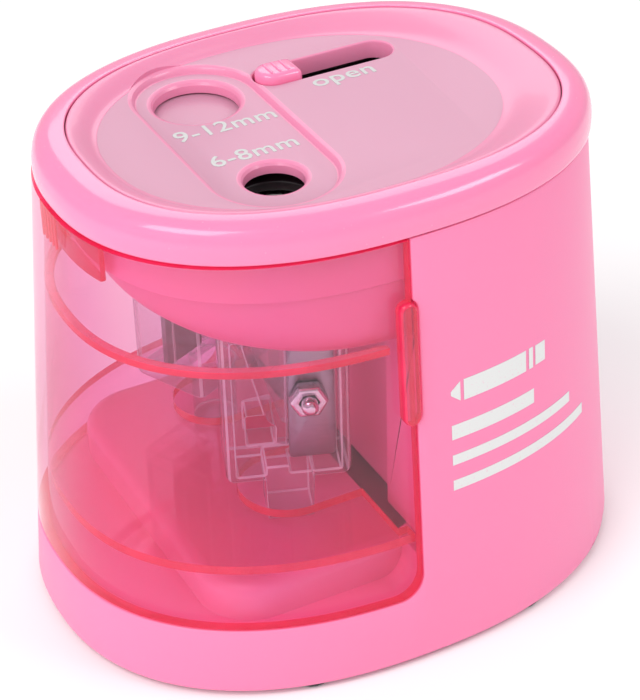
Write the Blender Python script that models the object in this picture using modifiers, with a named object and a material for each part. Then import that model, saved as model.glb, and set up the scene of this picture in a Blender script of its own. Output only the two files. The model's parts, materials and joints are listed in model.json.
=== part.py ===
"""Battery pencil sharpener: oval two-hole desk model with a clear shavings drawer.

Frame: millimetres below, written to Blender in metres. Origin on the table under the middle of the oval base,
+X towards the closed end that holds the motor, -X the way the drawer pulls out, -Y the front, +Z up.
"""

import math

import bmesh
import bpy
from mathutils import Matrix, Vector

MM = 0.001
GAP = 0.3                  # clearance between neighbouring pieces
SEAM = 0.4                 # keeps the faces of two cutters from falling in one plane

# Overall form
FOOT_H = 0.8
BASE_A, BASE_B = 46.1, 35.9        # half length and half width at the bottom edge
TOP_A, TOP_B = 40.6, 31.2          # the same at the parting line under the rim
OVAL_EXP = 2.3
RIM_LINE = 71.3
OVAL_POINTS = 56
CLEAR = 10.0               # how far a cutter runs past what it cuts

# Body
WALL = 1.8
EDGE_X = -1.4              # upright edge of the body beside the drawer
DECK_Z = 12.0              # top of the base ring that the drawer stands over
DECK_T = 1.5
BAY_R = 4.0
BOTTOM_ROUND = 1.0
CELL_ROOM = 0.5            # above the cells, under the platform's roof
ROOF_T = 1.2
PLATE_T = 1.4              # bottom plate and battery door

# Rim and panel
GROOVE_A, GROOVE_B, GROOVE_EXP = 35.1, 26.5, 2.33
RIM_RISE, RIM_CROWN = 5.2, 0.9     # groove above the parting line, and crown above the groove
GROOVE_Z = RIM_LINE + RIM_RISE
FLAT_SINK = 1.4
FLAT_Z = GROOVE_Z - FLAT_SINK
FLAT_INSET_LEFT, FLAT_INSET_RIGHT, FLAT_INSET_SIDE = 4.5, 8.0, 3.4
PANEL_T = 2.8
RECESS_R, RECESS_DEPTH = 9.0, 1.0

# Pencil holes
HOLE_X = -12.0
SMALL_Y, LARGE_Y = -12.0, 13.4
SMALL_R, LARGE_R = 4.25, 6.25
HOLE_CHAMFER = 0.7

# Shutter
SLOT_HALF = 2.85
SLOT_LEFT = -2.5
KNOB_LEN, KNOB_RISE = 6.6, 1.5
KNOB_RIB = 0.9
SHUTTER_T = 1.2
SHUTTER_LAP = 1.1
SHUTTER_TRAVEL = 15.5

# Upper housing
BAND_INSET_A, BAND_INSET_B = 4.6, 2.1      # from the body's outline, clear of the drawer's lip and wall
BAND_DROP, BOWL_DEPTH = 7.6, 10.4          # from the parting line to the band's foot, and on to the bottom
BAND_Z = RIM_LINE - BAND_DROP
BOWL_Z = BAND_Z - BOWL_DEPTH
BOWL_STEPS = (             # share of the bowl's height, and insets from the band along X and Y
    (0.0, 13.0, 2.6), (0.05, 9.6, 1.2), (0.2, 6.6, 0.6), (0.5, 3.6, 0.4), (1.0, 1.6, 0.3))
HOUSING_WALL = 1.6
COVER_T = 1.6

# Gear train
GEAR_MODULE, GEAR_TEETH = 0.7, 30
WHEEL_MODULE, WHEEL_TEETH, PINION_TEETH = 0.5, 44, 10
GEAR_FACE, WHEEL_FACE = 4.0, 2.8
PRESSURE_ANGLE = math.radians(25)
ADDENDUM, DEDENDUM, FLANK_STEPS = 0.85, 1.15, 2
SMALL_HUB, LARGE_HUB = 6.6, 8.6    # outer radius of the hollow hubs
MESH_BACKLASH = 0.16

# Cutter heads
SMALL_HEAD_W, LARGE_HEAD_W = 18.6, 21.0
SMALL_HEAD_D, LARGE_HEAD_D = 9.4, 13.6
HEAD_WALL, HEAD_ROUND = 1.6, 1.2
SMALL_HEAD_LOW, LARGE_HEAD_LOW = 25.2, 29.2
SCREW_SHARE_X, SCREW_UP = 0.36, 13.2       # the blade's screw: share of half the width, and height
WINDOW_LOW, WINDOW_HIGH = 3.6, 8.6         # the opening through the box, up from its bottom
FOOT_W = 7.0
SMALL_TURN, LARGE_TURN = -20.0, 205.0
NUT_AF, SCREW_R = 5.0, 1.25
BLADE_T = 0.9

# Motor, power
MOTOR_R, MOTOR_H = 10.0, 25.0
MOTOR_FLAT, MOTOR_BOSS_R = 7.8, 3.0        # half width across the flats, and the boss round the shaft
SHAFT_R, AXLE_R = 1.0, 1.5
CELL_R, CELL_LEN, CELL_NUB, NUB_R = 7.0, 48.6, 0.9, 2.7
CELL_PITCH = 2 * CELL_R + GAP
CONTACT_ROOM = 2.3         # beyond each end of the cells
BOX_HALF_Y = CELL_LEN / 2 + CONTACT_ROOM
BOX_CORNER_R, PLATFORM_CORNER_R = 4.5, 8.5
CONTACT_T, CONTACT_HALF = 0.5, 5.0
SPRING_WIRE_R, SPRING_TURNS = 0.25, 2.5

# Drawer
DRAWER_WALL = 1.6
FLOOR_Z, FLOOR_T = 22.2, 1.4       # top of the drawer floor and its thickness
SHELF_Z, SHELF_T, SHELF_W = 54.2, 1.1, 1.4
LIP_LOW, LIP_HALF = 63.8, 9.7      # pull lip: a thick block inside the wall, up to the housing
PILL_LOW, PILL_HIGH, PILL_HALF, PILL_X, PILL_OUT = 42.0, 61.5, 1.35, -2.25, 0.7
SLOT_R_SMALL, SLOT_R_LARGE = 7.6, 6.6

# Feet and screws
FOOT_R, FOOT_X, FOOT_Y = 2.9, 18.0, 30.2
BASE_SCREW_X, BASE_SCREW_R = 6.5, 2.3
SHANK_R, SHANK_LEN = 1.2, 6.0
COUNTERSINK = 0.95
BOSS_R = 2.7

# Colours: linear colour, roughness, metallic
FINISHES = {
    "pink_shell": ((0.92, 0.24, 0.43), 0.42, 0.0),
    "pink_gloss": ((0.95, 0.24, 0.45), 0.15, 0.0),
    "pink_panel": ((0.86, 0.42, 0.56), 0.45, 0.0),
    "pink_clear": ((0.90, 0.10, 0.30), 0.08, 0.0),
    "clear": ((0.86, 0.82, 0.84), 0.08, 0.0),
    "white_gear": ((0.82, 0.82, 0.80), 0.40, 0.0),
    "steel": ((0.62, 0.62, 0.64), 0.28, 1.0),
    "motor_case": ((0.62, 0.62, 0.64), 0.28, 1.0),
    "rubber": ((0.06, 0.06, 0.06), 0.85, 0.0),
    "cell_wrap": ((0.05, 0.20, 0.10), 0.35, 0.0),
    "switch_black": ((0.03, 0.03, 0.03), 0.50, 0.0),
}


# ---------------------------------------------------------------- helpers

def make_collection(name):
    group = bpy.data.collections.new(name)
    bpy.context.scene.collection.children.link(group)
    return group


def finish_of(key):
    found = bpy.data.materials.get(key)
    if found:
        return found
    colour, roughness, metallic = FINISHES[key]
    material = bpy.data.materials.new(key)
    material.use_nodes = True
    shader = material.node_tree.nodes["Principled BSDF"]
    shader.inputs["Base Color"].default_value = (*colour, 1.0)
    shader.inputs["Roughness"].default_value = roughness
    shader.inputs["Metallic"].default_value = metallic
    material.diffuse_color = (*colour, 1.0)
    return material


def add_object(name, mesh, finish=None):
    """A part when it has a finish, a cutter or a piece to be joined when it has none."""
    obj = bpy.data.objects.new(name, mesh)
    if finish:
        PARTS.objects.link(obj)
        mesh.materials.append(finish_of(finish))
    else:
        CUTTERS.objects.link(obj)
        obj.hide_render = True
        obj.display_type = "WIRE"
    return obj


def mesh_from(bm, name):
    bmesh.ops.recalc_face_normals(bm, faces=bm.faces)
    mesh = bpy.data.meshes.new(name)
    bm.to_mesh(mesh)
    bm.free()
    return mesh


def oval(half_a, half_b, exponent=OVAL_EXP, centre_x=0.0, count=OVAL_POINTS):
    points = []
    for i in range(count):
        angle = 2 * math.pi * i / count
        c, s = math.cos(angle), math.sin(angle)
        points.append((
            centre_x + half_a * math.copysign(abs(c) ** (2 / exponent), c),
            half_b * math.copysign(abs(s) ** (2 / exponent), s),
        ))
    return points


def body_half(z, inset=0.0):
    """Half length and half width of the tapered body at height z, less an inset."""
    share = (RIM_LINE - z) / (RIM_LINE - FOOT_H)
    return TOP_A + (BASE_A - TOP_A) * share - inset, TOP_B + (BASE_B - TOP_B) * share - inset


def body_row(z, inset=0.0):
    return oval(*body_half(z, inset)), z


def loft(name, rows, finish=None, ring=False):
    """Skin through (outline, z) rows: capped at both ends, or closed on itself as a ring."""
    bm = bmesh.new()
    loops = [[bm.verts.new((x * MM, y * MM, z * MM)) for x, y in outline] for outline, z in rows]
    pairs = list(zip(loops, loops[1:] + loops[:1])) if ring else list(zip(loops, loops[1:]))
    count = len(loops[0])
    for low, high in pairs:
        for i in range(count):
            j = (i + 1) % count
            bm.faces.new((low[i], low[j], high[j], high[i]))
    if not ring:
        bm.faces.new(loops[0])
        bm.faces.new(loops[-1])
    obj = add_object(name, mesh_from(bm, name), finish)
    obj.data.shade_smooth()
    obj.data.set_sharp_from_angle(angle=math.radians(35))
    return obj


def box(name, low, high, finish=None, round_edge=0.0):
    bm = bmesh.new()
    bmesh.ops.create_cube(bm, size=1.0)
    size = Vector(high) - Vector(low)
    middle = (Vector(high) + Vector(low)) / 2
    bmesh.ops.transform(bm, matrix=Matrix.Translation(middle * MM) @ Matrix.Diagonal((*(size * MM), 1)),
                        verts=bm.verts)
    if round_edge:
        bmesh.ops.bevel(bm, geom=bm.edges, offset=round_edge * MM, segments=2, profile=0.5, affect="EDGES")
    return add_object(name, mesh_from(bm, name), finish)


def flat_piece(name, outlines, low, high, finish=None, axis="Z"):
    """A flat outline, with any holes as further outlines, given thickness from low to high along the axis."""
    curve = bpy.data.curves.new(name, "CURVE")
    curve.dimensions = "2D"
    curve.fill_mode = "BOTH"
    curve.extrude = (high - low) / 2 * MM
    for outline in outlines:
        spline = curve.splines.new("POLY")
        spline.points.add(len(outline) - 1)
        for point, (u, v) in zip(spline.points, outline):
            point.co = (u * MM, v * MM, 0, 1)
        spline.use_cyclic_u = True
    shape = bpy.data.objects.new(name + "_outline", curve)
    bpy.context.scene.collection.objects.link(shape)
    mesh = solid_of(shape, name)
    lift = Matrix.Translation((0, 0, (high + low) / 2 * MM))
    # "Y" stands the outline up in the XZ plane, its thickness along Y.
    mesh.transform(Matrix.Rotation(math.pi / 2, 4, "X") @ lift if axis == "Y" else lift)
    return add_object(name, mesh, finish)


def solid_of(shape, name):
    """The closed mesh of a curve object, which is then removed."""
    graph = bpy.context.evaluated_depsgraph_get()
    mesh = bpy.data.meshes.new_from_object(shape.evaluated_get(graph))
    mesh.name = name
    bm = bmesh.new()
    bm.from_mesh(mesh)
    bmesh.ops.remove_doubles(bm, verts=bm.verts, dist=1e-6)
    bmesh.ops.recalc_face_normals(bm, faces=bm.faces)
    bm.to_mesh(mesh)
    bm.free()
    bpy.data.objects.remove(shape)
    return mesh


def turned(name, profile, at=(0.0, 0.0), finish=None, steps=32, axis="Z"):
    """A turned piece: (radius, height) down the outer side. A hollow one's profile comes back up its bore."""
    hollow = profile[0] == profile[-1]
    points = profile[:-1] if hollow else profile
    mesh = bpy.data.meshes.new(name)
    links = [(i, i + 1) for i in range(len(points) - 1)]
    if hollow:
        links.append((len(points) - 1, 0))
    mesh.from_pydata([(r * MM, 0, z * MM) for r, z in points], links, [])
    obj = add_object(name, mesh, finish)
    screw = obj.modifiers.new("Turn", "SCREW")
    screw.axis = "Z"
    screw.steps = screw.render_steps = steps
    screw.use_merge_vertices = True
    screw.merge_threshold = 1e-6
    screw.use_smooth_shade = True
    obj.location = (at[0] * MM, at[1] * MM, 0)
    if axis != "Z":
        obj.location = tuple(v * MM for v in at)
        obj.rotation_euler = {"Y": (math.pi / 2, 0, 0), "X": (0, math.pi / 2, 0)}[axis]
    return obj


def boolean(obj, tool, operation="DIFFERENCE"):
    step = obj.modifiers.new(tool.name, "BOOLEAN")
    step.object = tool
    step.operation = operation
    step.solver = "EXACT"


def cut(obj, *tools):
    for tool in tools:
        boolean(obj, tool)


def join(obj, *tools):
    for tool in tools:
        boolean(obj, tool, "UNION")


def keep(obj, tool):
    boolean(obj, tool, "INTERSECT")


def arc(cx, cy, radius, start, end, steps):
    return [(cx + radius * math.cos(math.radians(start + (end - start) * i / steps)),
             cy + radius * math.sin(math.radians(start + (end - start) * i / steps)))
            for i in range(steps + 1)]


def circle(radius, at=(0.0, 0.0), count=32):
    return arc(*at, radius, 0, 360 - 360 / count, count - 1)


def stadium(x0, x1, y, radius, steps=10):
    """An oblong outline whose round ends reach x0 and x1."""
    return arc(x1 - radius, y, radius, -90, 90, steps) + arc(x0 + radius, y, radius, 90, 270, steps)


def rounded_rectangle(x0, x1, y0, y1, radius, steps=4):
    return (arc(x1 - radius, y0 + radius, radius, -90, 0, steps)
            + arc(x1 - radius, y1 - radius, radius, 0, 90, steps)
            + arc(x0 + radius, y1 - radius, radius, 90, 180, steps)
            + arc(x0 + radius, y0 + radius, radius, 180, 270, steps))


def gear_outline(module, teeth, turn=0.0):
    """Involute teeth between the root and tip circles, thinned by the backlash."""
    pitch = module * teeth / 2
    tip, root = pitch + ADDENDUM * module, pitch - DEDENDUM * module
    base = pitch * math.cos(PRESSURE_ANGLE)
    half_pitch = math.pi / 2 / teeth - MESH_BACKLASH / 2 / pitch
    start = max(base, root)
    flank = [(root, half_tooth(start, base, half_pitch))]
    flank += [(radius, half_tooth(radius, base, half_pitch))
              for radius in (start + (tip - start) * i / FLANK_STEPS for i in range(FLANK_STEPS + 1))]
    points = []
    for i in range(teeth):
        middle = 2 * math.pi * i / teeth + math.radians(turn)
        sides = [(radius, -half) for radius, half in flank]
        sides += [(radius, half) for radius, half in reversed(flank)]
        for radius, offset in sides:
            points.append((radius * math.cos(middle + offset), radius * math.sin(middle + offset)))
    return points


def half_tooth(radius, base, half_pitch):
    """Half a tooth's angle at a radius on its involute flank."""
    slope = math.acos(min(1.0, base / radius))
    return half_pitch + math.tan(PRESSURE_ANGLE) - PRESSURE_ANGLE - math.tan(slope) + slope


def mesh_turn(driver_turn, driver_teeth, line, teeth):
    """Degrees of turn that put a gear's gap on its driver's tooth, on the line from driver to gear."""
    past = (line - driver_turn) % (360 / driver_teeth)
    return line + 180 + past * driver_teeth / teeth + 180 / teeth


def spun_about(obj, at, degrees=0.0):
    """Gives a piece modelled round the origin its place on an upright axis."""
    obj.location = (at[0] * MM, at[1] * MM, 0)
    obj.rotation_euler = (0, 0, math.radians(degrees))
    return obj


# ---------------------------------------------------------------- body and base

def build_body():
    bottom = FOOT_H
    shell = loft("body_shell", [
        body_row(bottom, BOTTOM_ROUND), body_row(bottom + 0.35 * BOTTOM_ROUND, 0.3 * BOTTOM_ROUND),
        body_row(bottom + 1.4 * BOTTOM_ROUND), body_row(RIM_LINE - GAP)], "pink_shell")
    far, high = 2 * BASE_A, RIM_LINE + CLEAR
    bay_outline = ([(-far, high), (-far, DECK_Z)]
                   + arc(EDGE_X - BAY_R, DECK_Z + BAY_R, BAY_R, -90, 0, 6) + [(EDGE_X, high)])
    bay = flat_piece("cut_bay", [bay_outline], -far, far, axis="Y")
    hollow = loft("cut_rear_hollow", [body_row(PLATFORM_Z, WALL), body_row(high, WALL)])
    under = loft("cut_under", [body_row(-1, WALL), body_row(DECK_Z - DECK_T, WALL)])
    rear_under = flat_piece("cut_rear_under", [clipped_oval(DECK_Z - DECK_T, WALL + SEAM, EDGE_X + WALL)],
                            DECK_Z / 2, PLATFORM_Z - ROOF_T - SEAM)
    cell_outline = rounded_rectangle(-BOX_HALF_X, BOX_HALF_X, -BOX_HALF_Y, BOX_HALF_Y, BOX_CORNER_R)
    cells = flat_piece("cut_cell_box", [cell_outline], -1, PLATFORM_Z - ROOF_T)
    wall = HOUSING_WALL + GAP
    right = EDGE_X + BAY_R + WALL

    def platform_row(inset, z):
        return rounded_rectangle(-BOX_HALF_X - wall + inset, right, -BOX_HALF_Y - wall + inset,
                                 BOX_HALF_Y + wall - inset, PLATFORM_CORNER_R - inset), z
    platform = loft("platform", [platform_row(0, DECK_Z - DECK_T / 2), platform_row(0, PLATFORM_Z - 1.6),
                                 platform_row(0.5, PLATFORM_Z - 0.5), platform_row(1.6, PLATFORM_Z)])
    door_gate = box("cut_door_gate", (BOX_HALF_X - 1, -DOOR_HALF_Y - GAP, -1),
                    (far, DOOR_HALF_Y + GAP, FOOT_H + PLATE_T + GAP))
    pills = flat_piece("cut_pill_notch", [pill_outline(GAP)], -far, far, axis="Y")
    cut(shell, bay, hollow, under, rear_under)
    join(shell, platform)
    for side_x in (-1, 1):
        for side_y in (-1, 1):
            spot = (side_x * BASE_SCREW_X, side_y * FOOT_Y)
            boss_low = bottom + PLATE_T + GAP
            boss_top = (DECK_Z if side_x < 0 else PLATFORM_Z) - 0.5
            bore, bore_top = SHANK_R + GAP, DECK_Z - 2
            join(shell, turned(f"boss_{side_x}_{side_y}", [
                (0, boss_top), (BOSS_R, boss_top), (BOSS_R, boss_low), (bore, boss_low), (bore, bore_top),
                (0, bore_top)], spot, steps=14))
    cut(shell, cells, door_gate, pills)
    return shell


def clipped_oval(z, inset, x_from, x_to=1000.0):
    """The body's outline at height z, cut off square at two X values."""
    half_a, half_b = body_half(z, inset)
    x_to = min(x_to, half_a)
    steps = OVAL_POINTS // 2
    upper = []
    for i in range(steps + 1):
        share = math.sin(math.pi / 2 * i / steps)      # closer points towards the round end
        x = x_from + (x_to - x_from) * share
        upper.append((x, half_b * max(0.0, 1 - abs(x / half_a) ** OVAL_EXP) ** (1 / OVAL_EXP)))
    lower = [(x, -y) for x, y in reversed(upper) if y > 1e-6]
    return upper + lower


def pill_outline(clearance=0.0):
    half = PILL_HALF + clearance
    return (arc(PILL_X, PILL_HIGH - PILL_HALF, half, 0, 180, 8)
            + arc(PILL_X, PILL_LOW + PILL_HALF, half, 180, 360, 8))


def build_base():
    low, high = FOOT_H, FOOT_H + PLATE_T
    plate = flat_piece("base_plate", [oval(*body_half(low, WALL + GAP))], low, high, "pink_shell")
    opening = box("cut_door_opening", (-DOOR_HALF_X - GAP, -DOOR_HALF_Y - GAP, -1),
                  (2 * BASE_A, DOOR_HALF_Y + GAP, high + 1))
    cut(plate, opening)
    for side_x in (-1, 1):
        for side_y in (-1, 1):
            spot = (side_x * BASE_SCREW_X, side_y * FOOT_Y)
            cut(plate, turned(f"cut_screw_{side_x}_{side_y}", [
                (0, high + 1), (SHANK_R + GAP, high + 1), (SHANK_R + GAP, low + COUNTERSINK),
                (BASE_SCREW_R + GAP, low + COUNTERSINK), (BASE_SCREW_R + GAP, low - 1), (0, low - 1)],
                spot, steps=16))
    half_a, half_b = body_half(low, 0.3)
    door_outline = [(x, y) for x, y in oval(half_a, half_b, count=144)
                    if x > 0 and abs(y) < DOOR_HALF_Y - 0.5]
    door_outline.sort(key=lambda point: point[1])
    edge_x = half_a * (1 - (DOOR_HALF_Y / half_b) ** OVAL_EXP) ** (1 / OVAL_EXP)
    door = flat_piece("battery_door", [[(-DOOR_HALF_X, DOOR_HALF_Y), (-DOOR_HALF_X, -DOOR_HALF_Y),
                                        (edge_x, -DOOR_HALF_Y)] + door_outline + [(edge_x, DOOR_HALF_Y)]],
                      low, high, "pink_shell")
    for i in range(4):
        x = DOOR_HALF_X + 3 + 2.2 * i
        cut(door, box(f"cut_door_grip_{i}", (x, -8, low - 1), (x + 1.0, 8, low + 0.5)))
    for index, (side_x, side_y) in enumerate(((-1, -1), (1, -1), (-1, 1), (1, 1)), start=1):
        pad_top = low - 0.02
        turned(f"foot_{index}", [(0, pad_top), (FOOT_R, pad_top), (FOOT_R, 0.25), (FOOT_R - 0.4, 0), (0, 0)],
               (side_x * FOOT_X, side_y * FOOT_Y), "rubber", 18)
        turned(f"base_screw_{index}", [
            (0, high + SHANK_LEN), (SHANK_R, high + SHANK_LEN), (SHANK_R, low + COUNTERSINK - GAP),
            (BASE_SCREW_R, low + COUNTERSINK - GAP), (BASE_SCREW_R, low), (0, low)],
            (side_x * BASE_SCREW_X, side_y * FOOT_Y), "steel", 14)


# ---------------------------------------------------------------- rim, panel and shutter

def build_rim():
    def row(share, z):
        """A row between the groove (share 0) and the widest line of the rim (share 1)."""
        a = GROOVE_A + (TOP_A + 0.2 - GROOVE_A) * share
        b = GROOVE_B + (TOP_B + 0.2 - GROOVE_B) * share
        return oval(a, b, GROOVE_EXP + (OVAL_EXP - GROOVE_EXP) * share), z
    crown = GROOVE_Z + RIM_CROWN
    depth = crown - RIM_LINE
    loft("top_rim", [
        row(0.96, RIM_LINE), row(1.0, RIM_LINE + 0.17 * depth), row(0.985, RIM_LINE + 0.42 * depth),
        row(0.90, RIM_LINE + 0.68 * depth), row(0.72, RIM_LINE + 0.89 * depth), row(0.48, crown),
        row(0.22, crown - 0.12), row(0.06, crown - 0.45), row(0.0, GROOVE_Z), row(0.0, RIM_LINE)],
        "pink_gloss", ring=True)


def build_panel():
    flat_a = GROOVE_A - (FLAT_INSET_LEFT + FLAT_INSET_RIGHT) / 2
    flat_b = GROOVE_B - FLAT_INSET_SIDE
    shift = (FLAT_INSET_LEFT - FLAT_INSET_RIGHT) / 2
    low = FLAT_Z - PANEL_T
    fit_a, fit_b = GROOVE_A - GAP, GROOVE_B - GAP
    mid = ((fit_a + flat_a) / 2, (fit_b + flat_b) / 2)
    panel = loft("top_panel", [
        (oval(fit_a, fit_b, GROOVE_EXP), low), (oval(fit_a, fit_b, GROOVE_EXP), GROOVE_Z),
        (oval(mid[0], mid[1], GROOVE_EXP, shift / 2), (GROOVE_Z + FLAT_Z) / 2 - 0.3),
        (oval(flat_a, flat_b, 2.15, shift), FLAT_Z)], "pink_panel")
    bed = FLAT_Z - RECESS_DEPTH
    track = [(x, y) for y, x in stadium(SMALL_Y - RECESS_R, LARGE_Y + RECESS_R, HOLE_X, RECESS_R, 12)]
    above = FLAT_Z + CLEAR
    cut(panel, flat_piece("cut_recess", [track], bed, above))
    for name, y, radius in (("small", SMALL_Y, SMALL_R), ("large", LARGE_Y, LARGE_R)):
        cut(panel, turned(f"cut_{name}_hole", [
            (0, above), (radius + HOLE_CHAMFER, above), (radius + HOLE_CHAMFER, bed),
            (radius + 0.3 * HOLE_CHAMFER, bed - 0.45 * HOLE_CHAMFER), (radius, bed - HOLE_CHAMFER),
            (radius, low - 1), (0, low - 1)], (HOLE_X, y), steps=32))
    cut(panel, flat_piece("cut_slot", [stadium(SLOT_LEFT, SLOT_RIGHT, LARGE_Y, SLOT_HALF)], low - 1, above))


def build_shutter():
    high = FLAT_Z - PANEL_T - GAP
    low = high - SHUTTER_T
    reach = LARGE_R + SHUTTER_LAP
    plate = [(HOLE_X - reach, LARGE_Y - reach), (KNOB_X1 - 1, LARGE_Y - reach),
             (KNOB_X1 - 1, LARGE_Y + reach), (HOLE_X - reach, LARGE_Y + reach)]
    flat_piece("shutter_plate", [plate], low, high, "pink_panel")
    knob = flat_piece("shutter_knob", [stadium(KNOB_X0, KNOB_X1, LARGE_Y, SLOT_HALF - GAP)], high + GAP,
                      FLAT_Z + KNOB_RISE, "pink_gloss")
    for i in range(2):
        x = KNOB_X0 + KNOB_LEN * (0.38 + 0.24 * i)
        cut(knob, box(f"cut_knob_{i}", (x - KNOB_RIB / 2, LARGE_Y - CLEAR, FLAT_Z + KNOB_RISE - 0.4),
                      (x + KNOB_RIB / 2, LARGE_Y + CLEAR, FLAT_Z + CLEAR)))


# ---------------------------------------------------------------- upper housing and gear train

def bowl_rows(inset=0.0, floor=0.0, top=RIM_LINE - GAP):
    """Rows of the housing: a bowl that opens out to a step, then the band that goes up to the rim."""
    band_a = body_half(BAND_Z)[0] - BAND_INSET_A - inset
    band_b = body_half(BAND_Z)[1] - BAND_INSET_B - inset
    drop = BAND_Z - BOWL_Z - floor
    rows = []
    for share, in_a, in_b in BOWL_STEPS:
        rows.append((oval(band_a - in_a, band_b - in_b), BOWL_Z + floor + drop * share))
    rows.append((oval(band_a, band_b), BAND_Z + 0.3))
    rows.append((oval(TOP_A - BAND_INSET_A - inset, TOP_B - BAND_INSET_B - inset), top))
    return rows


def build_housing():
    housing = loft("mech_housing", bowl_rows(), "pink_shell")
    cut(housing, loft("cut_housing", bowl_rows(HOUSING_WALL, HOUSING_WALL, RIM_LINE + CLEAR)))
    below, above = BOWL_Z - 1, BOWL_Z + HOUSING_WALL + 1
    for name, y, hub in (("small", SMALL_Y, SMALL_HUB), ("large", LARGE_Y, LARGE_HUB)):
        reach = hub + GAP
        cut(housing, turned(f"cut_{name}_bearing", [(0, above), (reach, above), (reach, below), (0, below)],
                            (HOLE_X, y), steps=32))
    reach = MOTOR_BOSS_R + GAP
    cut(housing, turned("cut_motor_boss", [(0, above), (reach, above), (reach, below), (0, below)],
                        (MOTOR_X, GEAR_Y), steps=20))
    cover = flat_piece("gear_cover", [
        oval(TOP_A - BAND_INSET_A - HOUSING_WALL - GAP, TOP_B - BAND_INSET_B - HOUSING_WALL - GAP),
        circle(SMALL_R + 1.5, (HOLE_X, SMALL_Y)), circle(LARGE_R + 1.1, (HOLE_X, LARGE_Y))],
        COVER_Z, COVER_Z + COVER_T, "pink_shell")
    below, above, reach = COVER_Z - 1, COVER_Z + COVER_T + 1, AXLE_R + GAP
    cut(cover, turned("cut_cover_axle", [(0, above), (reach, above), (reach, below), (0, below)],
                      (DRIVE_X, GEAR_Y), steps=16))


def build_gears():
    for name, y, radius, hub, turn in (("small", SMALL_Y, SMALL_R, SMALL_HUB, SMALL_GEAR_TURN),
                                       ("large", LARGE_Y, LARGE_R, LARGE_HUB, LARGE_GEAR_TURN)):
        bore = radius + 0.5
        gear = flat_piece(f"{name}_cutter_gear", [gear_outline(GEAR_MODULE, GEAR_TEETH, turn),
                                                  circle(bore + 0.4)],
                          GEAR_Z, GEAR_Z + GEAR_FACE, "white_gear")
        collar = bore + 1.1
        tube = turned(f"{name}_hub_tube", [
            (collar, COVER_Z - 2 * GAP), (collar, GEAR_Z + GEAR_FACE / 2), (hub, GEAR_Z + GEAR_FACE / 2),
            (hub, HEAD_TOP + GAP), (bore, HEAD_TOP + GAP), (bore, COVER_Z - 2 * GAP),
            (collar, COVER_Z - 2 * GAP)], steps=32)
        join(gear, tube)
        spun_about(gear, (HOLE_X, y))
        spun_about(tube, (HOLE_X, y))
    wheel_z = GEAR_Z + GEAR_FACE + 0.4
    drive_top = wheel_z + 0.2
    drive = flat_piece("drive_gear", [gear_outline(GEAR_MODULE, GEAR_TEETH), circle(AXLE_R + GAP, count=20)],
                       GEAR_Z, drive_top, "white_gear")
    wheel = flat_piece("drive_wheel", [gear_outline(WHEEL_MODULE, WHEEL_TEETH),
                                       circle(AXLE_R + GAP, count=20)], wheel_z, wheel_z + WHEEL_FACE)
    join(drive, wheel)
    spun_about(drive, (DRIVE_X, GEAR_Y))
    spun_about(wheel, (DRIVE_X, GEAR_Y))
    floor = BOWL_Z + HOUSING_WALL
    axle_top, collar_r, collar_top = COVER_Z + COVER_T - 0.2, AXLE_R + 1.1, GEAR_Z - GAP
    turned("drive_axle", [(0, axle_top), (AXLE_R, axle_top), (AXLE_R, collar_top), (collar_r, collar_top),
                          (collar_r, floor + GAP), (0, floor + GAP)], (DRIVE_X, GEAR_Y), "steel", 16)
    pinion = flat_piece("motor_pinion", [gear_outline(WHEEL_MODULE, PINION_TEETH, PINION_TURN),
                                         circle(SHAFT_R + 0.05, count=16)],
                        drive_top + GAP, wheel_z + WHEEL_FACE + 0.4, "steel")
    spun_about(pinion, (MOTOR_X, GEAR_Y))


def build_motor():
    top = BOWL_Z - GAP
    low = top - MOTOR_H
    cap_r, bore = MOTOR_R - 0.6, SHAFT_R + 0.06
    can = turned("motor_can", [
        (MOTOR_BOSS_R, top + 1.0), (MOTOR_BOSS_R, top - 0.2), (MOTOR_R - 1.0, top - 0.2),
        (MOTOR_R, top - 1.2), (MOTOR_R, low + 2), (cap_r, low + 2), (cap_r, low + 1),
        (bore, low + 1), (bore, top + 1.0),
        (MOTOR_BOSS_R, top + 1.0)], (MOTOR_X, GEAR_Y), "motor_case", 32)
    for side in (-1, 1):
        near, away = sorted((GEAR_Y + side * MOTOR_FLAT, GEAR_Y + side * (MOTOR_FLAT + CLEAR)))
        cut(can, box(f"cut_can_flat_{side}", (MOTOR_X - 2 * MOTOR_R, near, low - 1),
                     (MOTOR_X + 2 * MOTOR_R, away, top + 2)))
    shaft_top = GEAR_Z + GEAR_FACE + WHEEL_FACE + 1.6
    turned("motor_shaft", [(0, shaft_top), (SHAFT_R, shaft_top), (SHAFT_R, low + 0.2), (0, low + 0.2)],
           (MOTOR_X, GEAR_Y), "steel", 16)
    half_x, half_y = MOTOR_R + 2, MOTOR_R + 1
    cradle = flat_piece("motor_cradle", [
        rounded_rectangle(MOTOR_X - half_x, MOTOR_X + half_x, GEAR_Y - half_y, GEAR_Y + half_y, 2)],
        PLATFORM_Z + GAP, low + 6, "pink_shell")
    cut(cradle, box("cut_cradle", (MOTOR_X - MOTOR_R - GAP, GEAR_Y - MOTOR_FLAT - GAP, low - 2),
                    (MOTOR_X + MOTOR_R + GAP, GEAR_Y + MOTOR_FLAT + GAP, low + CLEAR)))
    cut(cradle, box("cut_cradle_wires", (MOTOR_X - 8, GEAR_Y - 8, PLATFORM_Z + 2),
                    (MOTOR_X + MOTOR_R + CLEAR, GEAR_Y + 8, low - 3)))


# ---------------------------------------------------------------- cutter heads

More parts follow.
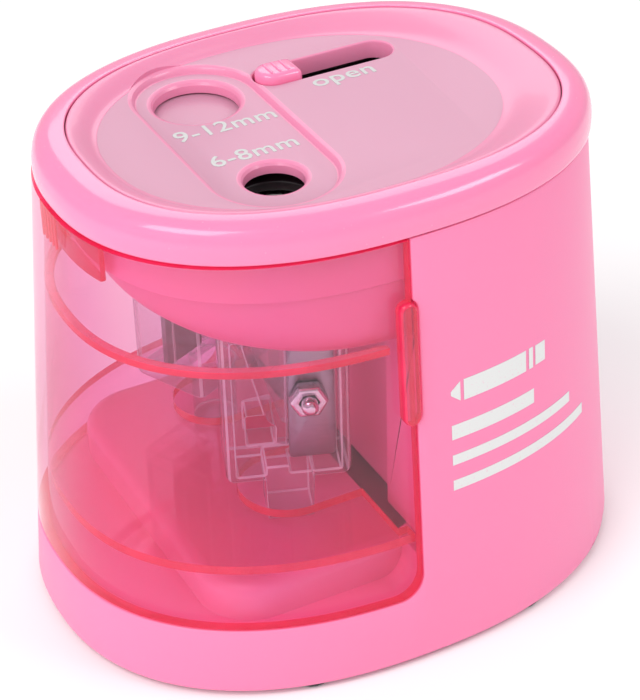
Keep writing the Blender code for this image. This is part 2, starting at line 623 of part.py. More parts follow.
def build_head(name, y, radius, width, depth, low, turn, round_foot):
    """A clear carrier round its spin axis: open box, cone for the point, blade, screw, nut and foot."""
    at = (HOLE_X, y)
    half_w, half_d = width / 2, depth / 2
    high = HEAD_TOP
    wall = HEAD_WALL
    shape = box(f"{name}_cutter_head", (-half_w, -half_d, low), (half_w, half_d, high), "clear", HEAD_ROUND)
    pocket = box(f"cut_{name}_pocket", (-half_w + wall, -half_d - 1, low + wall),
                 (half_w - wall, BLADE_SEAT, high - wall - 1))
    tip_z = low + 4.6
    cone = turned(f"{name}_cone", [(0, high - 1.5), (radius + 1.5, high - 1.5), (radius + 1.5, high - 6),
                                   (1.9, tip_z), (0, tip_z)], steps=24)
    foot_low = PLATFORM_Z + GAP
    if round_foot:
        foot = turned(f"{name}_foot", [
            (0, low + 2), (FOOT_W / 2, low + 2), (FOOT_W / 2, foot_low), (0, foot_low)], steps=24)
    else:
        foot = box(f"{name}_foot", (-FOOT_W / 2, -half_d, foot_low), (FOOT_W / 2, -half_d + 6.5, low + 3))
    bore_cut = turned(f"cut_{name}_bore", [
        (0, high + CLEAR), (radius + GAP, high + CLEAR), (radius + GAP, high - 6), (0.5, tip_z + 3),
        (0, tip_z + 3)], steps=24)
    blade_x = half_w - wall - 0.4
    blade_y = -radius * 0.32
    slit = box(f"cut_{name}_blade_slit", (0.1, -half_d - 2, low + wall + 0.05),
               (half_w - wall, blade_y + BLADE_T / 2 + GAP, high - wall - 1.2))
    window = box(f"cut_{name}_window", (-half_w + 2.0 + wall, -half_d - 2, low + WINDOW_LOW),
                 (-1.6, half_d + 2, low + WINDOW_HIGH))
    screw_x, screw_z = half_w * SCREW_SHARE_X, low + SCREW_UP
    cut(shape, pocket)
    join(shape, cone, foot)
    cut(shape, slit, bore_cut, window)
    reach = SCREW_R + 0.2
    hole = turned(f"cut_{name}_screw_hole", [
        (0, width), (reach, width), (reach, -width), (0, -width)], steps=16)
    stand(hole, at, turn, screw_x, screw_z)
    cut(shape, hole)
    for piece in (shape, pocket, cone, foot, bore_cut, slit, window):
        spun_about(piece, at, turn)
    blade = flat_piece(f"{name}_blade", [
        rounded_rectangle(0.4, blade_x, low + wall + 0.6, high - 4.5, 0.5, 2),
        circle(SCREW_R + 0.15, (screw_x, screw_z), 16)],
                       -(blade_y + BLADE_T / 2), -(blade_y - BLADE_T / 2), "steel", axis="Y")
    spun_about(blade, at, turn)
    tip, seat, cap = -blade_y + 4.6, -half_d - 0.2 - GAP, -half_d - 1.7
    screw = turned(f"{name}_blade_screw", [
        (0, tip), (0.7, tip - 0.1), (SCREW_R, tip - 0.6), (SCREW_R, seat), (2.3, seat), (2.3, cap + 0.3),
        (1.9, cap), (0, cap)], finish="steel", steps=16)
    stand(screw, at, turn, screw_x, screw_z)
    flat = math.cos(math.pi / 6)
    corner, bore = NUT_AF / 2 / flat, (SCREW_R + 0.1) / flat
    nut_low = -blade_y + BLADE_T / 2 + 0.2
    nut = turned(f"{name}_blade_nut", [
        (bore, nut_low + 2.0), (corner - 0.4, nut_low + 2.0), (corner, nut_low + 1.7), (corner, nut_low),
        (bore, nut_low), (bore, nut_low + 2.0)],
        finish="steel", steps=6)
    nut.modifiers["Turn"].use_smooth_shade = False
    stand(nut, at, turn, screw_x, screw_z)


def stand(piece, at, turn, local_x, z):
    """Lays a turned piece's axis along the head's own -Y, at a spot on its face."""
    place = (Matrix.Translation((at[0] * MM, at[1] * MM, 0)) @ Matrix.Rotation(math.radians(turn), 4, "Z")
             @ Matrix.Translation((local_x * MM, 0, z * MM)) @ Matrix.Rotation(math.pi / 2, 4, "X"))
    piece.matrix_world = place


# ---------------------------------------------------------------- drawer and bulkhead

def build_drawer():
    low, high = DECK_Z + GAP, RIM_LINE - GAP - 0.1
    drawer = loft("drawer", [body_row(low), body_row(high)], "pink_clear")
    far = 2 * BASE_A
    floor_low = FLOOR_Z - FLOOR_T
    upper = loft("cut_drawer_upper", [body_row(FLOOR_Z, DRAWER_WALL),
                                      body_row(SHELF_Z - SHELF_T, DRAWER_WALL)])
    shelf = loft("cut_drawer_shelf", [body_row(SHELF_Z - SHELF_T - 1, DRAWER_WALL + SHELF_W),
                                      body_row(SHELF_Z + 1, DRAWER_WALL + SHELF_W)])
    mouth = loft("cut_drawer_mouth", [body_row(SHELF_Z, DRAWER_WALL), body_row(high + 5, DRAWER_WALL)])
    lip_x = -(body_half(BAND_Z)[0] - BAND_INSET_A + GAP)
    cut(mouth, box("keep_lip", (-far, -LIP_HALF, LIP_LOW), (lip_x, LIP_HALF, high + CLEAR)))
    skirt = loft("cut_drawer_skirt", [body_row(low - 5, DRAWER_WALL), body_row(floor_low, DRAWER_WALL)])
    edge = EDGE_X - GAP
    back_outline = ([(far, -CLEAR), (far, high + CLEAR), (edge, high + CLEAR)]
                    + arc(edge - BAY_R, DECK_Z + BAY_R + GAP, BAY_R, 0, -90, 6) + [(edge - BAY_R, -CLEAR)])
    back = flat_piece("cut_drawer_back", [back_outline], -far, far, axis="Y")
    cut(drawer, back, upper, shelf, mouth, skirt)
    tongue = body_half(FLOOR_Z, DRAWER_WALL)[1] - 2.2
    floor_edge = box("cut_floor_back", (FLOOR_END, -tongue, floor_low - 1), (far, tongue, FLOOR_Z + 1))
    cut(drawer, floor_edge)
    for name, y, radius in (("small", SMALL_Y, SLOT_R_SMALL), ("large", LARGE_Y, SLOT_R_LARGE)):
        cut(drawer, flat_piece(f"cut_{name}_floor_slot", [stadium(HOLE_X - radius, far, y, radius)],
                               floor_low - 1, FLOOR_Z + 1))
    for side in (-1, 1):
        near, away = sorted((side * (TOP_B - CLEAR), side * (BASE_B + CLEAR)))
        below, above = PILL_LOW - 5, PILL_HIGH + 5
        pill = flat_piece(f"drawer_pill_{side}", [pill_outline()], near, away, axis="Y")
        keep(pill, loft(f"keep_pill_{side}", [body_row(below, -PILL_OUT), body_row(above, -PILL_OUT)]))
        cut(pill, loft(f"cut_pill_{side}", [body_row(below, 1.0), body_row(above, 1.0)]))
        join(drawer, pill)
    return drawer


def build_bulkhead():
    """The wall between the drawer bay and the motor, stepped back behind the cutter heads."""
    low, high = PLATFORM_Z + GAP, BOWL_Z + 4
    side = body_half(high, WALL + GAP + 0.4)[1]
    t = BULKHEAD_T
    outline = [(FLANGE_X, -side), (FLANGE_X + t, -side), (FLANGE_X + t, -RECESS_HALF - t),
               (RECESS_X + t, -RECESS_HALF - t), (RECESS_X + t, RECESS_HALF + t),
               (FLANGE_X + t, RECESS_HALF + t),
               (FLANGE_X + t, side), (FLANGE_X, side), (FLANGE_X, RECESS_HALF), (RECESS_X, RECESS_HALF),
               (RECESS_X, -RECESS_HALF), (FLANGE_X, -RECESS_HALF)]
    wall = flat_piece("bulkhead", [outline], low, high, "pink_shell")
    cut(wall, loft("cut_bulkhead_top", bowl_rows(-GAP, -GAP)))
    reach = PLUNGER_R + GAP
    cut(wall, turned("cut_plunger_hole", [(0, CLEAR), (reach, CLEAR), (reach, -CLEAR), (0, -CLEAR)],
                     (FLANGE_X, PLUNGER_Y, PLUNGER_Z), steps=16, axis="X"))


def build_interlock():
    """Switch that stops the motor when the drawer is out, with its sprung plunger through the bulkhead."""
    x0 = FLANGE_X + BULKHEAD_T + GAP
    low = PLATFORM_Z + GAP
    switch = box("interlock_switch", (x0, PLUNGER_Y - SWITCH_W / 2, low),
                 (x0 + SWITCH_LEN, PLUNGER_Y + SWITCH_W / 2, low + SWITCH_H), "switch_black", 0.4)
    reach, depth = PLUNGER_R + GAP, PLUNGER_IN + PLUNGER_TRAVEL + GAP
    cut(switch, turned("cut_switch_bore", [(0, depth), (reach, depth), (reach, -CLEAR), (0, -CLEAR)],
                       (FLANGE_X, PLUNGER_Y, PLUNGER_Z), steps=16, axis="X"))
    tip = FLOOR_END + GAP - FLANGE_X
    turned("interlock_plunger", [
        (0, PLUNGER_IN), (PLUNGER_R, PLUNGER_IN), (PLUNGER_R, tip + 0.5), (PLUNGER_R - 0.5, tip), (0, tip)],
        (FLANGE_X, PLUNGER_Y, PLUNGER_Z), "white_gear", 14, axis="X")


# ---------------------------------------------------------------- cells and contacts

def build_power():
    middle_z = FOOT_H + PLATE_T + GAP + CELL_R
    half = CELL_LEN / 2
    for i in range(4):
        x = (i - 1.5) * CELL_PITCH
        way = 1 if i % 2 else -1           # the way the positive end points along Y
        cell = turned(f"battery_{i + 1}", [
            (0, half + CELL_NUB), (NUB_R, half + CELL_NUB), (NUB_R, half), (CELL_R - 0.5, half),
            (CELL_R, half - 0.5), (CELL_R, -half + 0.5), (CELL_R - 0.5, -half), (0, -half)],
            finish="cell_wrap", steps=24)
        cell.location = (x * MM, 0, middle_z * MM)
        cell.rotation_euler = (-way * math.pi / 2, 0, 0)
        build_spring(f"battery_spring_{i + 1}", x, -way, middle_z)
    for name, side in (("contact_strip_front", -1), ("contact_strip_back", 1)):
        inner, outer = BOX_HALF_Y - GAP - CONTACT_T, BOX_HALF_Y - GAP
        y0, y1 = sorted((side * inner, side * outer))
        reach = BOX_HALF_X - BOX_CORNER_R
        box(name, (-reach, y0, middle_z - CONTACT_HALF), (reach, y1, middle_z + CONTACT_HALF), "steel")


def build_spring(name, x, side, z):
    """A conical coil between a cell's flat end and the contact strip."""
    start = CELL_LEN / 2 + GAP + SPRING_WIRE_R
    end = BOX_HALF_Y - GAP - CONTACT_T - GAP - SPRING_WIRE_R
    count = int(SPRING_TURNS * 8)
    curve = bpy.data.curves.new(name, "CURVE")
    curve.dimensions = "3D"
    curve.bevel_depth = SPRING_WIRE_R * MM
    curve.bevel_resolution = 0
    curve.use_fill_caps = True
    spline = curve.splines.new("POLY")
    spline.points.add(count)
    for i, point in enumerate(spline.points):
        share = i / count
        angle = 2 * math.pi * SPRING_TURNS * share
        radius = 2.0 + 2.2 * share
        along = side * (start + (end - start) * share)
        point.co = ((x + radius * math.cos(angle)) * MM, along * MM, (z + radius * math.sin(angle)) * MM, 1)
    shape = bpy.data.objects.new(name + "_wire", curve)
    bpy.context.scene.collection.objects.link(shape)
    add_object(name, solid_of(shape, name), "steel")


# ---------------------------------------------------------------- derived places

PLATFORM_Z = FOOT_H + PLATE_T + GAP + 2 * CELL_R + CELL_ROOM + ROOF_T
BOX_HALF_X = 2 * CELL_PITCH + 0.4
DOOR_HALF_X, DOOR_HALF_Y = BOX_HALF_X, BOX_HALF_Y - 0.4
KNOB_X0 = SLOT_LEFT + GAP
KNOB_X1 = KNOB_X0 + KNOB_LEN
SLOT_RIGHT = KNOB_X1 + SHUTTER_TRAVEL + GAP
HEAD_TOP = BOWL_Z - GAP - 0.2
GEAR_Y = (SMALL_Y + LARGE_Y) / 2
GEAR_REACH = GEAR_MODULE * GEAR_TEETH
DRIVE_X = HOLE_X + math.sqrt(GEAR_REACH ** 2 - ((LARGE_Y - SMALL_Y) / 2) ** 2)
MOTOR_X = DRIVE_X + WHEEL_MODULE * (WHEEL_TEETH + PINION_TEETH) / 2
GEAR_Z = BOWL_Z + HOUSING_WALL + 2.2
COVER_Z = FLAT_Z - PANEL_T - 2 * GAP - SHUTTER_T - GAP - COVER_T
BLADE_SEAT = 0.4
LINE_TO_LARGE = math.degrees(math.atan2((LARGE_Y - SMALL_Y) / 2, HOLE_X - DRIVE_X))
LARGE_GEAR_TURN = mesh_turn(0, GEAR_TEETH, LINE_TO_LARGE, GEAR_TEETH)
SMALL_GEAR_TURN = mesh_turn(0, GEAR_TEETH, -LINE_TO_LARGE, GEAR_TEETH)
PINION_TURN = mesh_turn(0, WHEEL_TEETH, 0, PINION_TEETH)
FLOOR_END = -3.3
FLANGE_X, BULKHEAD_T = 0.6, 1.5
RECESS_X, RECESS_HALF = 2.6, 20.0
PLUNGER_R, PLUNGER_Y, PLUNGER_Z = 1.1, 25.5, FLOOR_Z - FLOOR_T / 2
PLUNGER_IN, PLUNGER_TRAVEL = 4.6, 1.5      # length past the bulkhead's front, and how far it is pressed
SWITCH_LEN, SWITCH_W, SWITCH_H = 10.2, 6.4, 9.0


def main():
    for obj in list(bpy.data.objects):
        bpy.data.objects.remove(obj)
    build_body()
    build_base()
    build_rim()
    build_panel()
    build_shutter()
    build_housing()
    build_gears()
    build_motor()
    build_head("small", SMALL_Y, SMALL_R, SMALL_HEAD_W, SMALL_HEAD_D, SMALL_HEAD_LOW, SMALL_TURN, False)
    build_head("large", LARGE_Y, LARGE_R, LARGE_HEAD_W, LARGE_HEAD_D, LARGE_HEAD_LOW, LARGE_TURN, True)
    build_drawer()
    build_bulkhead()
    build_interlock()
    build_power()


PARTS = make_collection("pencil_sharpener")
CUTTERS = make_collection("cutters")
main()
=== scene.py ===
"""Two-hole battery pencil sharpener: the visible pieces and finishes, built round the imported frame."""

import json
import math

import bmesh
import bpy
from mathutils import Matrix, Vector


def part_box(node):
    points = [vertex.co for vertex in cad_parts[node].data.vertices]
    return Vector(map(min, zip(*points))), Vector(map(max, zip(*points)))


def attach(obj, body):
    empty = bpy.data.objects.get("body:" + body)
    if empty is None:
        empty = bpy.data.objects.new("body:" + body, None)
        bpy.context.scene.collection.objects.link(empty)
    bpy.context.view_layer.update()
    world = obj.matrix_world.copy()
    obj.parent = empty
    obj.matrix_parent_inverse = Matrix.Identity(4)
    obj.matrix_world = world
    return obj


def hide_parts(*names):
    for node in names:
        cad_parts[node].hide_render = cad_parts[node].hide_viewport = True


bl_info = {
    "name": "Pencil Sharpener Studio",
    "version": (1, 0, 0),
    "blender": (4, 5, 0),
    "location": "View3D > Sidebar > Sharpener",
    "description": "Builds a battery pencil sharpener with a clear shavings drawer round its frame",
    "category": "Object",
}

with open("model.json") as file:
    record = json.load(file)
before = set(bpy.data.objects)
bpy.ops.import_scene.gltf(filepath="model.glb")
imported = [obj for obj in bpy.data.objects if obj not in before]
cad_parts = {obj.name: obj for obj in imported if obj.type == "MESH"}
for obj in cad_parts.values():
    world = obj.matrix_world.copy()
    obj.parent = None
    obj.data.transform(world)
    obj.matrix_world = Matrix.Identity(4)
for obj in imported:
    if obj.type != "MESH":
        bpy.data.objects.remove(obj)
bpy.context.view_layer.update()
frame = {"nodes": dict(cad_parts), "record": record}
MM = 0.001


def span(node):
    """Lowest and highest corner of a frame node, in millimetres."""
    low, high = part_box(node)
    return low / MM, high / MM


# ---------------------------------------------------------------- sizes, in millimetres

BODY_LOW, BODY_HIGH = span("body_shell")
RIM_LOW, RIM_HIGH = span("top_rim")
PANEL_LOW, PANEL_HIGH = span("top_panel")
HOUSING_LOW, HOUSING_HIGH = span("mech_housing")
DRAWER_LOW, DRAWER_HIGH = span("drawer")
KNOB_LOW, KNOB_HIGH = span("shutter_knob")

FOOT_Z = BODY_LOW.z
RIM_LINE = RIM_LOW.z
BASE_A, BASE_B, TOP_A, TOP_B = 46.1, 35.9, 40.6, 31.2
OVAL_POWER, GROOVE_POWER, FLAT_POWER = 2.3, 2.5, 2.15
OVAL_STEPS = 192
EDGE_X, BAY_R, DECK_Z, PLATFORM_Z = -1.4, 4.0, 12.0, 18.2
GROOVE_A, GROOVE_B, GROOVE_Z = PANEL_HIGH.x + 0.8, PANEL_HIGH.y + 0.6, PANEL_HIGH.z + 0.3
GROOVE_SHIFT, RIM_SHIFT = 0.6, 0.4      # how far the groove and the rim sit towards the body
FLAT_Z, BED_Z = 75.1, 74.1
HOLE_X, SMALL_Y, LARGE_Y, SMALL_R, LARGE_R, RECESS_R = -12.0, -12.0, 13.4, 4.25, 6.25, 9.0
SLOT_LEFT, SLOT_RIGHT, SLOT_HALF = KNOB_LOW.x - 0.3, KNOB_HIGH.x + 15.8, 2.85
WALL, DRAWER_WALL, HOUSING_WALL = 1.8, 1.6, 1.6
FLOOR_LOW, FLOOR_Z, FLOOR_END = 20.8, 22.2, -3.3
SHELF_LOW, SHELF_Z, SHELF_W, SHELF_END = 53.1, 54.2, 1.4, -4.2
LIP_LOW, LIP_HALF, LIP_X = 63.8, 9.7, -36.83
PILL_LOW, PILL_HIGH, PILL_HALF, PILL_X = 42.0, 61.5, 1.35, -2.25
BAND_Z, BOWL_Z = HOUSING_LOW.z + 10.4, HOUSING_LOW.z
BOX_A, BOX_B, BOX_R, BOX_TOP = 29.0, 26.6, 4.5, PLATFORM_Z - 1.2     # the cell box's inside
PLATFORM_WALL, PLATFORM_END, PLATFORM_R, PLATFORM_ROUND = 1.9, 4.4, 8.5, 2.2
KNOB_CORNER, RIB_PITCH, RIB_LENGTH, RIB_R = 0.9, 1.35, 2.7, 0.24
GRIP_COUNT, GRIP_PITCH, GRIP_LENGTH, GRIP_R, GRIP_PLACE = 5, 1.15, 5.4, 0.22, (-40.1, 4.6, 67.6)
REACH = 120.0               # how far a cutter runs past what it cuts
WELD, SHARP = 0.02 * MM, 32     # metres and degrees: the points soften joins and the edges it rounds
FIGURE_SHARE = 1.38         # a font's size over the height of its figures


# ---------------------------------------------------------------- settings a user would change

class SharpenerForm(bpy.types.PropertyGroup):
    """Sizes of the dressed pieces."""
    edge_round: bpy.props.FloatProperty(
        name="Edge rounding", description="Radius along moulded edges", default=0.3 * MM, unit="LENGTH")
    label_height: bpy.props.FloatProperty(
        name="Label height", description="Height of the range labels' figures", default=3.1 * MM,
        unit="LENGTH")
    rib_count: bpy.props.IntProperty(
        name="Knob ribs", description="Raised ribs across the shutter's knob", default=3)
    print_thickness: bpy.props.FloatProperty(
        name="Print thickness", description="How far a printed mark stands off the plastic",
        default=0.05 * MM, unit="LENGTH")


class SharpenerFinish(bpy.types.PropertyGroup):
    """Colours of the finishes."""
    shell: bpy.props.FloatVectorProperty(
        name="Shell", description="Colour of the moulded body", default=(0.93, 0.235, 0.44), subtype="COLOR")
    # painted light: the flat top is greyer than the slopes of the same moulding, standing for the pale sheen
    # the top light lays on the flat
    panel: bpy.props.FloatVectorProperty(
        name="Panel", description="Colour of the flat top", default=(0.60, 0.28, 0.40), subtype="COLOR")
    clear: bpy.props.FloatVectorProperty(
        name="Clear pink", description="Tint of the drawer's clear plastic", default=(0.972, 0.885, 0.93),
        subtype="COLOR")
    # also the colour of the faint painted glow on the clear plastic's red edges
    edge: bpy.props.FloatVectorProperty(
        name="Clear edge", description="Colour gathered along the clear plastic's edges",
        default=(0.86, 0.03, 0.12), subtype="COLOR")
    ink: bpy.props.FloatVectorProperty(
        name="Ink", description="Colour of the printed marks", default=(0.74, 0.75, 0.74), subtype="COLOR")


# ---------------------------------------------------------------- shader trees

class Wire:
    """A socket in a shader tree that can be used in sums."""

    def __init__(self, maker, socket):
        self.maker, self.socket = maker, socket

    def sum_with(self, operation, *values):
        return self.maker.node("ShaderNodeMath", {"operation": operation}, dict(enumerate(values)))

    def __add__(self, other):
        return self.sum_with("ADD", self, other)

    def __mul__(self, other):
        return self.sum_with("MULTIPLY", self, other)

    __radd__, __rmul__ = __add__, __mul__


class Finish:
    """A named material and the few calls its tree is built with."""

    def __init__(self, name):
        self.material = bpy.data.materials.new(name)
        self.material.use_nodes = True
        self.tree = self.material.node_tree
        self.tree.nodes.clear()
        self.place = self.node("ShaderNodeTexCoord", {}, {}, "Object")

    def node(self, kind, settings, sockets, output=0):
        made = self.tree.nodes.new(kind)
        for key, value in settings.items():
            if key == "stops":
                ramp = made.color_ramp.elements
                while len(ramp) < len(value):
                    ramp.new(0.5)
                for stop, (position, level) in zip(ramp, value):
                    stop.position = position
                    stop.color = (level, level, level, 1.0)
            else:
                setattr(made, key, value)
        for key, value in sockets.items():
            if isinstance(value, Wire):
                self.tree.links.new(value.socket, made.inputs[key])
            elif isinstance(value, (tuple, list)) and len(value) == 3 and made.inputs[key].type == "RGBA":
                made.inputs[key].default_value = (*value, 1.0)
            else:
                made.inputs[key].default_value = value
        return Wire(self, made.outputs[output])

    def noise(self, per_metre, detail=2.0, stretch=(1, 1, 1)):
        where = self.node("ShaderNodeMapping", {}, {"Vector": self.place, "Scale": stretch})
        sockets = {"Vector": where, "Scale": per_metre, "Detail": detail}
        return self.node("ShaderNodeTexNoise", {}, sockets, "Fac")

    def ramp(self, value, *stops):
        return self.node("ShaderNodeValToRGB", {"stops": stops}, {"Fac": value})

    def blend(self, share, first, second):
        return self.node("ShaderNodeMix", {"data_type": "RGBA"}, {0: share, 6: first, 7: second}, 2)

    def bump(self, height, strength):
        return self.node("ShaderNodeBump", {}, {"Height": height, "Strength": strength, "Distance": 0.1 * MM})

    def surface(self, **sockets):
        named = {key.replace("_", " "): value for key, value in sockets.items()}
        return self.node("ShaderNodeBsdfPrincipled", {}, named)

    def end(self, shader):
        output = self.tree.nodes.new("ShaderNodeOutputMaterial")
        self.tree.links.new(shader.socket, output.inputs["Surface"])
        return self.material


def scaled(colour, share):
    """A colour made lighter or darker, kept within 1."""
    return tuple(min(1.0, value * share) for value in colour)


def moulded(name, colour, roughness, grain, coat=0.0):
    """Moulded plastic: faint flow clouding, a fine grain and a few dust specks that dull the gloss."""
    made = Finish(name)
    clouds = made.noise(38.0, 3.0, (1.0, 1.0, 0.6))
    dust = made.ramp(made.noise(1300.0, 2.0), (0.70, 0.0), (0.78, 1.0))
    tone = made.blend(clouds, scaled(colour, 0.975), scaled(colour, 1.02))
    tone = made.blend(dust * 0.035, tone, (0.95, 0.80, 0.86))
    rough = made.ramp(clouds, (0.3, roughness - 0.03), (0.7, roughness + 0.03)) + dust * 0.08
    fine = made.noise(5200.0, 1.0) + made.noise(240.0, 2.0) * 0.35
    return made.end(made.surface(
        Base_Color=tone, Roughness=rough, Normal=made.bump(fine, grain), IOR=1.49, Coat_Weight=coat,
        Coat_Roughness=0.06, Subsurface_Weight=0.12, Subsurface_Radius=(1.0, 0.35, 0.45),
        Subsurface_Scale=1.5 * MM))


def clear_plastic(name, tint, deep, facing, veil_and_glow=0.0, veil_and_glow_colour=(1.0, 0.8, 0.88)):
    """Clear tinted plastic: lets light straight through, deeper where it is seen edge on, and polished.

    The veil and glow is the share of the surface that scatters light, as a bevelled or frosted face does, and
    that same share also glows faintly in its own colour though it is no lamp: a painted glow."""
    made = Finish(name)
    swirl = made.ramp(made.noise(34.0, 1.5, (1.0, 1.0, 0.5)), (0.42, 0.0), (0.68, 1.0))
    strained = (tint[0] * 0.975, tint[1] * 0.93, min(1.0, tint[2] * 1.03))
    plain, violet, along = (
        made.node("ShaderNodeBsdfTransparent", {}, {"Color": colour}) for colour in (tint, strained, deep))
    through = made.node("ShaderNodeMixShader", {}, {0: swirl * 0.8, 1: plain, 2: violet})
    edge_on = made.node("ShaderNodeLayerWeight", {}, {"Blend": facing}, "Facing")
    through = made.node("ShaderNodeMixShader", {}, {0: edge_on, 1: through, 2: along})
    if veil_and_glow:
        veil_and_glow_share = made.ramp(made.noise(160.0, 3.0), (0.3, veil_and_glow * 0.8), (0.7, min(1.0, veil_and_glow * 1.2)))
        # painted glow: this surface gives off light in the veil and glow colour, though it is no lamp
        scatter_and_glow = made.surface(Base_Color=veil_and_glow_colour, Roughness=made.ramp(veil_and_glow_share, (0.0, 0.3), (1.0, 0.5)),
                           Emission_Color=veil_and_glow_colour, Emission_Strength=0.18)
        through = made.node("ShaderNodeMixShader", {}, {0: veil_and_glow_share, 1: through, 2: scatter_and_glow})
    scuffs = made.ramp(made.noise(700.0, 3.0, (1.0, 1.0, 0.15)), (0.6, 0.03), (0.8, 0.12))
    shine = made.node("ShaderNodeBsdfAnisotropic", {}, {"Color": (1.0, 0.95, 0.97), "Roughness": scuffs})
    grazing = made.node("ShaderNodeLayerWeight", {}, {"Blend": 0.5}, "Facing")
    mirror = grazing.sum_with("POWER", grazing, 5.0) * 0.85 + 0.03
    return made.end(made.node("ShaderNodeMixShader", {}, {0: mirror, 1: through, 2: shine}))


def metal(name, colour, roughness, brushing, along):
    """Plated or ground steel with drawn scratches along one axis and a few dull spots."""
    made = Finish(name)
    lines = made.noise(1500.0, 3.0, along)
    spots = made.ramp(made.noise(420.0, 3.0), (0.55, 0.0), (0.75, 1.0))
    tone = made.blend(spots * 0.5 + lines * 0.3, colour, scaled(colour, 0.72))
    rough = made.ramp(lines, (0.3, roughness), (0.75, roughness + 0.16)) + spots * 0.08
    return made.end(made.surface(
        Base_Color=tone, Metallic=1.0, Roughness=rough, Normal=made.bump(lines, brushing)))


def plain_plastic(name, colour, roughness, grain=0.12):
    """Small moulded parts: even colour with a grain and rubbed patches."""
    made = Finish(name)
    rubbed = made.noise(260.0, 3.0)
    tone = made.blend(rubbed, scaled(colour, 0.85), scaled(colour, 1.15))
    rough = made.ramp(rubbed, (0.3, roughness - 0.05), (0.7, roughness + 0.08))
    return made.end(made.surface(
        Base_Color=tone, Roughness=rough, Normal=made.bump(made.noise(3000.0, 2.0), grain)))


def cell_wrap():
    """Foil wrap: a copper-coloured band at each end and dark between, by distance from the middle along Y."""
    made = Finish("cell_wrap")
    axis = made.node("ShaderNodeSeparateXYZ", {}, {"Vector": made.place}, "Y")
    far = made.node("ShaderNodeMath", {"operation": "ABSOLUTE"}, {0: axis})
    band = made.ramp(far * 30.0, (0.50, 0.0), (0.505, 1.0))
    foil = made.noise(500.0, 3.0)
    tone = made.blend(band, (0.02, 0.02, 0.025), (0.60, 0.25, 0.09))
    return made.end(made.surface(
        Base_Color=made.blend(foil * 0.25, tone, (0.25, 0.22, 0.20)), Metallic=band * 0.8 + 0.1,
        Roughness=made.ramp(foil, (0.3, 0.22), (0.7, 0.40)), Normal=made.bump(foil, 0.08)))


def print_ink(name, colour):
    """Screen-printed ink: slightly raised, thin in pinholes."""
    made = Finish(name)
    holes = made.ramp(made.noise(2600.0, 2.0), (0.62, 0.0), (0.72, 1.0))
    tone = made.blend(holes * 0.35, colour, (0.85, 0.45, 0.60))
    return made.end(made.surface(
        Base_Color=tone, Roughness=made.ramp(holes, (0.0, 0.34), (1.0, 0.5)), Metallic=0.15,
        Normal=made.bump(made.noise(4000.0, 2.0), 0.10)))


def floor_paper():
    """Matt pale paper with a faint unevenness."""
    made = Finish("studio_floor")
    tone = made.blend(made.noise(1.5, 2.0), (0.93, 0.93, 0.935), (0.955, 0.955, 0.955))
    return made.end(made.surface(Base_Color=tone, Roughness=0.9, Specular_IOR_Level=0.1))


MATERIALS = {}


def mix_finishes():
    """Make every finish from the scene's colours and keep it under a short name."""
    colours = bpy.context.scene.sharpener_finish
    shell, edge, clear = tuple(colours.shell), tuple(colours.edge), tuple(colours.clear)
    # painted light: the panel's sloped faces take this deeper pink and its flat faces the greyer panel pink,
    # though both are one moulding; the difference stands for the top light's pale sheen on the flat
    slope_pink_painted_light = tuple(0.55 * a + 0.45 * b for a, b in zip(shell, colours.panel))
    MATERIALS.update({
        "shell": moulded("shell_pink", shell, 0.36, 0.05),
        "rim": moulded("rim_pink", shell, 0.22, 0.02, 0.5),
        "panel": moulded("panel_satin", tuple(colours.panel), 0.38, 0.04),
        "slope_painted_light": moulded("panel_slope_painted_light", slope_pink_painted_light, 0.30, 0.03, 0.2),
        "housing": moulded("housing_pink", scaled(shell, 0.97), 0.40, 0.05),
        "clear_wall": clear_plastic("drawer_clear", clear, (0.94, 0.42, 0.62), 0.28),
        "clear_floor": clear_plastic("drawer_floor_clear", (0.97, 0.83, 0.90), (0.93, 0.44, 0.62), 0.28),
        # the shelf, lip, edge and cutter finishes below glow faintly in their veil and glow colour: painted
        # glow
        "clear_shelf": clear_plastic(
            "drawer_shelf", (0.97, 0.84, 0.89), (0.95, 0.5, 0.66), 0.3, 0.30, (0.9, 0.5, 0.64)),
        "clear_lip": clear_plastic(
            "drawer_lip", (0.96, 0.62, 0.74), (0.95, 0.25, 0.42), 0.4, 0.10, (0.9, 0.3, 0.45)),
        "clear_edge": clear_plastic("drawer_edge_red", (0.90, 0.20, 0.36), edge, 0.5, 0.55, edge),
        "cutter_clear": clear_plastic("cutter_clear", (0.95, 0.90, 0.93), (0.70, 0.58, 0.66), 0.35, 0.06),
        "cutter_edge": clear_plastic(
            "cutter_edge", (0.92, 0.85, 0.89), (0.80, 0.70, 0.76), 0.3, 0.42, (0.86, 0.72, 0.79)),
        "steel": metal("plated_steel", (0.78, 0.76, 0.78), 0.12, 0.05, (1.0, 1.0, 1.0)),
        "blade": metal("ground_blade", (0.42, 0.38, 0.41), 0.30, 0.12, (0.2, 0.2, 3.0)),
        "motor": metal("motor_case", (0.62, 0.62, 0.63), 0.30, 0.06, (1.0, 1.0, 0.1)),
        "gear": plain_plastic("gear_white", (0.80, 0.79, 0.76), 0.42),
        "black": plain_plastic("cover_black", (0.018, 0.012, 0.016), 0.40),
        "rubber": plain_plastic("foot_rubber", (0.05, 0.05, 0.05), 0.85, 0.3),
        "cell": cell_wrap(),
        "ink": print_ink("print_ink", tuple(colours.ink)),
        "panel_ink": print_ink("panel_ink", scaled(tuple(colours.ink), 0.70)),
    })


# ---------------------------------------------------------------- mesh helpers

def oval(half_a, half_b, power=OVAL_POWER, shift=0.0, count=OVAL_STEPS):
    """Points of a superellipse, moved along X by a shift."""
    points = []
    for i in range(count):
        angle = 2 * math.pi * i / count
        c, s = math.cos(angle), math.sin(angle)
        points.append((shift + half_a * math.copysign(abs(c) ** (2 / power), c),
                       half_b * math.copysign(abs(s) ** (2 / power), s)))
    return points


